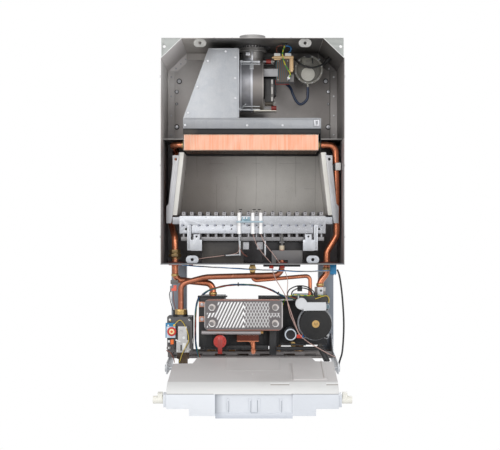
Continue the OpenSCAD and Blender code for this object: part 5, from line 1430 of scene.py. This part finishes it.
# Circuit board: green laminate on four posts inside the front panel. Its relays, capacitors
# and transformer are soldered on the side that faces the rear cover.
board = finish("board_green", (0.13, 0.36, 0.24), rough=0.35, mottle=0.1, cloud=120, coat=0.4,
               paint=lambda place, tone: (opened(place).z > -0.0103).tint(
                   tone, (0.72, 0.72, 0.70)))
dress("circuit_board", [board], edge=0.4)
board_parts = bmesh.new()
for step in range(9):
    rod(board_parts, (20 + step * 7, -60 - (step % 3) * 18, -10.4),
        (20 + step * 7, -60 - (step % 3) * 18, -2), 2.6, sides=20)
for step in range(5):
    block(board_parts, (-110 + step * 22, -160, -10.4), (-98 + step * 22, -150, -7), edge=0.4)
on_box("board_parts", board_parts, [black_moulded], "board_green")

# Knobs: grey moulded plastic, pushed on the spindles of the two dials, with a grip bar, fine
# ribs round the edge and a dark pointer line.
knob_grey = finish("knob_grey", (0.74, 0.75, 0.77), rough=0.38, mottle=0.04, grain=0.4, coat=0.1,
                   grime=0.1)
for node, body, x in (("knob_heating", "heating_knob", -103), ("knob_water", "water_knob", 106)):
    dress(node, [knob_grey], edge=1.1, steps=4)
    grip = bmesh.new()
    for rib_x, rib_y in circle(x, -110, 19.0, range(0, 360, 9)):
        rod(grip, (rib_x, rib_y, -51.2), (rib_x, rib_y, -38.6), 0.55, sides=8)
    on_box(node + "_ribs", grip, [knob_grey], "knob_grey", body)
    line = bmesh.new()
    block(line, (x - 0.7, -110 - 16.4, -55.55), (x + 0.7, -110 - 4, -54.9), edge=0.15)
    on_box(node + "_line", line, [black_moulded], "knob_grey", body)

# Reset button: moulded red plastic on a spring, held in its round hole by its own flange.
# It is pressed after a lockout of the burner.
button_red = finish("button_red", (0.72, 0.20, 0.16), rough=0.35, mottle=0.05, coat=0.3,
                    grime=0.08)
dress("reset_button", [button_red], edge=0.8, steps=4)

# Cam catches at both ends of the control box, moulded in cream plastic, with a cross recess
# in the pin's end. A quarter turn lets the box go.
catch_cream = finish("catch_cream", (0.92, 0.91, 0.87), rough=0.4, mottle=0.05, cloud=60,
                     grain=0.3, coat=0.1, grime=0.15)
for catch in ("box_catch_left", "box_catch_right"):
    dress(catch, [catch_cream], edge=1.2, steps=4)


# Wires, leads and the pressure hose. Each follows its packed route, given in mm, and wears its
# own sleeve; where several run together they are wound round each other.
def smooth(points, steps=7):
    """Points of a smooth line through a route given in mm, as vectors in metres."""
    route = [Vector(p) / 1000 for p in points]
    route = [route[0]] + route + [route[-1]]
    line = []
    for a, b, c, d in zip(route, route[1:], route[2:], route[3:]):
        for step in range(steps):
            t = step / steps
            line.append(0.5 * (2 * b + (c - a) * t + (2 * a - 5 * b + 4 * c - d) * t * t
                               + (3 * b - a - 3 * c + d) * t ** 3))
    return line + [route[-1]]


def sweep(shape, line, radius, sides=12, sleeve=0, turn=0.0, turns=0.0, away=0.0):
    """Adds a round wire along a line. With away it winds round that line, in mm."""
    side = None
    rings, run = [], 0.0
    for i, here in enumerate(line):
        ahead = (line[min(i + 1, len(line) - 1)] - line[max(i - 1, 0)]).normalized()
        if side is None:
            side = ahead.orthogonal().normalized()
        side = (side - ahead * side.dot(ahead)).normalized()
        up = ahead.cross(side)
        run += (here - line[i - 1]).length if i else 0.0
        phase = turn + run * turns * 2 * math.pi
        middle = here + (side * math.cos(phase) + up * math.sin(phase)) * away / 1000
        rings.append([shape.verts.new(middle + (side * math.cos(a) + up * math.sin(a))
                                      * radius / 1000)
                      for a in (2 * math.pi * k / sides for k in range(sides))])
    for first, second in zip(rings, rings[1:]):
        for k in range(sides):
            face = shape.faces.new((first[k], first[(k + 1) % sides],
                                    second[(k + 1) % sides], second[k]))
            face.material_index = sleeve
    for cap in (rings[0][::-1], rings[-1]):
        shape.faces.new(cap).material_index = sleeve


def stripes(place, tone):
    along = place.x * 480 + place.z * 560
    return (along.sine() > 0.1).tint(tone, (0.24, 0.60, 0.20))


def braid(place):
    along = place.x * 2600 + place.z * 3300
    return along.sine()


def insulated(name, colour, rough=0.42, paint=None, relief=None):
    return finish(name, colour, rough=rough, mottle=0.09, cloud=130, grain=0.35, coat=0.12,
                  grime=0.1, paint=paint, relief=relief, depth=0.0003)


sleeve_black = insulated("sleeve_black", (0.10, 0.10, 0.105))
hose_navy = insulated("hose_navy", (0.13, 0.19, 0.30), 0.4)
wire_brown = insulated("wire_brown", (0.52, 0.27, 0.20))
wire_blue = insulated("wire_blue", (0.05, 0.48, 0.74))
wire_navy = insulated("wire_navy", (0.07, 0.27, 0.46))
wire_red = insulated("wire_red", (0.58, 0.16, 0.16))
wire_green = insulated("wire_green", (0.22, 0.42, 0.26))
wire_earth = insulated("wire_earth", (0.84, 0.80, 0.16), paint=stripes)
wire_yellow = insulated("wire_yellow", (0.86, 0.74, 0.24))
lead_pink = insulated("lead_pink", (0.77, 0.64, 0.60), relief=braid)
wire_pale = insulated("wire_pale", (0.80, 0.81, 0.82))
plug_blue = insulated("plug_blue", (0.04, 0.50, 0.70))


def wire_piece(name, finishes, strands):
    """One piece of the boiler made of strands, each the keywords of sweep and its route."""
    shape = bmesh.new()
    for points, radius, more in strands:
        sweep(shape, smooth(points), radius, **more)
    return settle(name, shape, finishes, "boiler", "wire_sleeve", smooth=70)


hose = wire_piece("pressure_hose", [hose_navy], [([
    (129, -106, -111.3), (129, -106, -126), (127, -106, -140), (114, -106, -151),
    (103, -106, -145), (94, -106, -127), (88, -103, -112), (70, -95, -96), (45, -88, -88),
    (25.4, -85, -85)], 3.2, {"sides": 24})])
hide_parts("held_cables")
wire_piece("switch_cable", [sleeve_black], [
    ([(167, -130, -59.5), (150, -132, -67), (132, -131, -69), (112, -129, -61),
      (99, -127, -50), (94.3, -126, -50)], 2.1, {"sides": 16}),
    ([(180, -130, -46.4), (174, -130, -52.3), (168.2, -130, -58.4)], 4.9, {"sides": 24}),
    ([(168.6, -130, -58.0), (165, -130.5, -61.2)], 3.4, {"sides": 20})])
wire_piece("fan_wires", [wire_brown, wire_blue, wire_earth], [
    ([(71, -190, -28), (62, -188, -27), (55, -178, -31), (56, -158, -39.6)], 0.9,
     {"sleeve": 0}),
    ([(75, -190, -28), (84, -186, -29), (88, -174, -34), (82, -158, -39.6)], 1.2,
     {"sleeve": 1}),
    ([(73, -191, -28), (68, -189, -46), (74, -178, -68), (86, -168, -88),
      (83, -161.4, -97)], 1.15, {"sleeve": 2})])
wire_piece("electrode_leads", [lead_pink, sleeve_black, wire_pale, wire_brown], [
    ([(-29.8, -226, -454.5), (-30, -224, -478), (-35, -218, -497), (-75, -214, -504),
      (-118, -208, -510), (-139, -200, -519.8)], 0.9, {}),
    ([(0.6, -226, -454.5), (10, -226, -480), (27, -226, -503), (42, -225, -519.8)], 0.8, {}),
    ([(18.4, -226, -454.5), (29, -227, -477), (46, -228, -499), (61, -227, -519.8)], 0.8, {}),
    ([(61, -226.5, -524), (70, -227.5, -532), (78.5, -228, -558), (77, -228.5, -595),
      (83, -229.5, -630), (92, -230.6, -652), (104, -231, -679)], 0.75, {}),
    ([(42, -224, -525.4), (52, -228, -555), (72, -229, -590), (90, -229, -640),
      (104, -229, -676), (122, -229, -694), (145, -227, -708), (172, -215, -724),
      (188, -200, -732)], 1.0, {}),
    ([(-29.9, -226, -454), (-29.6, -225, -476), (-27.6, -224, -488)], 1.2, {"sleeve": 2}),
    ([(-27.8, -224, -487), (-22, -224, -497), (-12, -223, -505)], 0.8, {"sleeve": 3}),
    ([(-60, -224.5, -502.4), (-27.4, -224.5, -500.6)], 1.35, {"sleeve": 2}),
    ([(-63, -224.5, -501.4), (-60, -224.5, -501.6)], 2.2, {"sleeve": 1})])
arc_route = [(-112, -191, -590.5), (-110, -206, -589), (-98, -214, -581), (-84, -215, -576),
             (-58, -215, -570), (-30, -215, -568), (10, -215, -570), (40, -215, -579),
             (68, -216, -593), (97, -213.4, -600)]
wire_piece("arc_bundle", [sleeve_black, wire_red, wire_green, wire_navy], [
    (arc_route, 1.0, {"sleeve": k, "turn": k * math.pi / 2, "turns": 11, "away": 1.3})
    for k in range(4)])
floor_route = [(-157, -230, -523.8), (-110, -230, -527), (-60, -230, -530), (-4, -229, -533),
               (60, -229, -536), (120, -226, -538), (173.3, -214, -536)]
wire_piece("floor_bundle", [sleeve_black, wire_blue, wire_pale], [
    (floor_route, 0.75, {"sleeve": k, "turn": k * 2.1, "turns": 9, "away": 0.8})
    for k in range(3)])
pump_route = [(84, -193, -593.5), (84, -193.5, -588), (89, -200, -580), (104, -207, -573.5),
              (121, -208.5, -575), (133, -208.5, -582), (137, -208, -588), (137, -208, -593.5)]
wire_piece("pump_cable", [sleeve_black], [
    ([(121 + (x - 121) * spread, y, -593.5 + (z + 593.5) * spread) for x, y, z in pump_route],
     1.35, {}) for spread in (1.12, 0.88)])
wire_piece("pump_earth", [wire_earth, wire_yellow], [
    ([(68.9, -190, -615), (74, -205, -600), (92, -212, -591), (118, -208.5, -592.8),
      (140, -208, -592.8), (160, -207, -592.8)], 1.0, {}),
    ([(141, -213, -600), (150, -214, -597), (160, -214.5, -593.6), (168, -214.5, -593.8),
      (172, -214, -601), (171, -213.6, -609)], 0.9, {"sleeve": 1})])
wire_piece("valve_wires", [wire_yellow, sleeve_black, wire_pale, wire_brown], [
    ([(-174.6, -232, -657.9), (-168, -231, -650), (-161.2, -229, -646.8), (-153.4, -228, -654.8),
      (-145.6, -229.4, -672), (-142.4, -230.4, -692), (-148.7, -230.8, -705),
      (-157, -230, -722), (-163, -226, -741)], 0.75, {}),
    ([(-166, -230, -651.2), (-159, -228.6, -647.8), (-151.6, -227.6, -656),
      (-143.8, -229, -673), (-140.8, -229.8, -692), (-147, -230.2, -706),
      (-155, -229.4, -722), (-161, -226, -741)], 0.45, {"sleeve": 1}),
    ([(-181.8, -205, -580.4), (-185.6, -206, -588), (-182.2, -206, -606),
      (-176.2, -206, -627)], 0.8, {"sleeve": 2}),
    ([(-183.4, -206, -579), (-187.2, -206, -590), (-184.4, -206, -607),
      (-178.6, -206, -627)], 0.8, {"sleeve": 1}),
    ([(-178, -207, -582.2), (-177.2, -206, -606), (-172.6, -206, -626)], 0.75, {"sleeve": 3}),
    ([(-193, -227, -714.5), (-184, -228, -718.6), (-176.2, -227, -732),
      (-174.8, -224, -742)], 0.8, {"sleeve": 3})])
wire_piece("side_cable", [sleeve_black], [([
    (190.3, -214, -534), (196, -214, -552), (202, -214, -600), (205, -214, -660),
    (202, -214, -715), (196, -222, -736), (192.2, -236, -744)], 2.0, {"sides": 16})])

# Small parts at the wires' ends: the black terminal block, ring terminal, ties and the blue
# plug with its latch.
black_ends = bmesh.new()
block(black_ends, (67, -197, -28), (79, -184, -23.6), edge=0.6)
rod(black_ends, (-33.5, -215, -568.2), (-30.5, -215, -568.0), 3.4, sides=24)
block(black_ends, (-33, -219.4, -566.5), (-31, -217.4, -562.5), edge=0.3)
rod(black_ends, (56, -215.6, -586.2), (58.6, -215.7, -587.6), 3.4, sides=24)
settle("black_wire_ends", black_ends, [sleeve_black], "boiler", "wire_sleeve")
metal_ends = bmesh.new()
rods(metal_ends, ((83, -162.8, -97), (83, -161.2, -97), 3.4, 32),
     ((83.4, -163.0, -93.4), (84.2, -164.2, -90.0), 1.6, 20))
settle("wire_terminals", metal_ends, [rivet_steel], "boiler", "wire_sleeve")
blue_plug = bmesh.new()
block(blue_plug, (174, -222, -543.8), (188, -206, -522.2), edge=0.9, steps=3)
block(blue_plug, (177, -223.6, -538), (185, -221.8, -526), edge=0.6)
for x in (176.4, 179.6, 182.8, 186.0):
    rod(blue_plug, (x - 0.2, -214, -546.5), (x - 0.2, -214, -543.6), 1.1, sides=16)
settle("blue_plug", blue_plug, [plug_blue], "boiler", "wire_sleeve")

# Wiring into the control box: four wires wound into a bundle, tied to the water block above
# and to the box below.
harness_shape = bmesh.new()
harness_line = smooth([(-121, -206, -597), (-126, -212, -615), (-128, -214, -640),
                       (-128, -214, -690), (-124, -226, -714), (-116, -250, -730),
                       (-112, -261.7, -734.3)])
for k in range(4):
    sweep(harness_shape, harness_line, 1.0, sleeve=k, turn=k * math.pi / 2, turns=10, away=1.3)
harness = settle("harness_bundle", harness_shape, [sleeve_black, wire_red, wire_green, wire_navy],
                 None, "wire_sleeve", smooth=70)
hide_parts("box_harness")
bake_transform(harness)
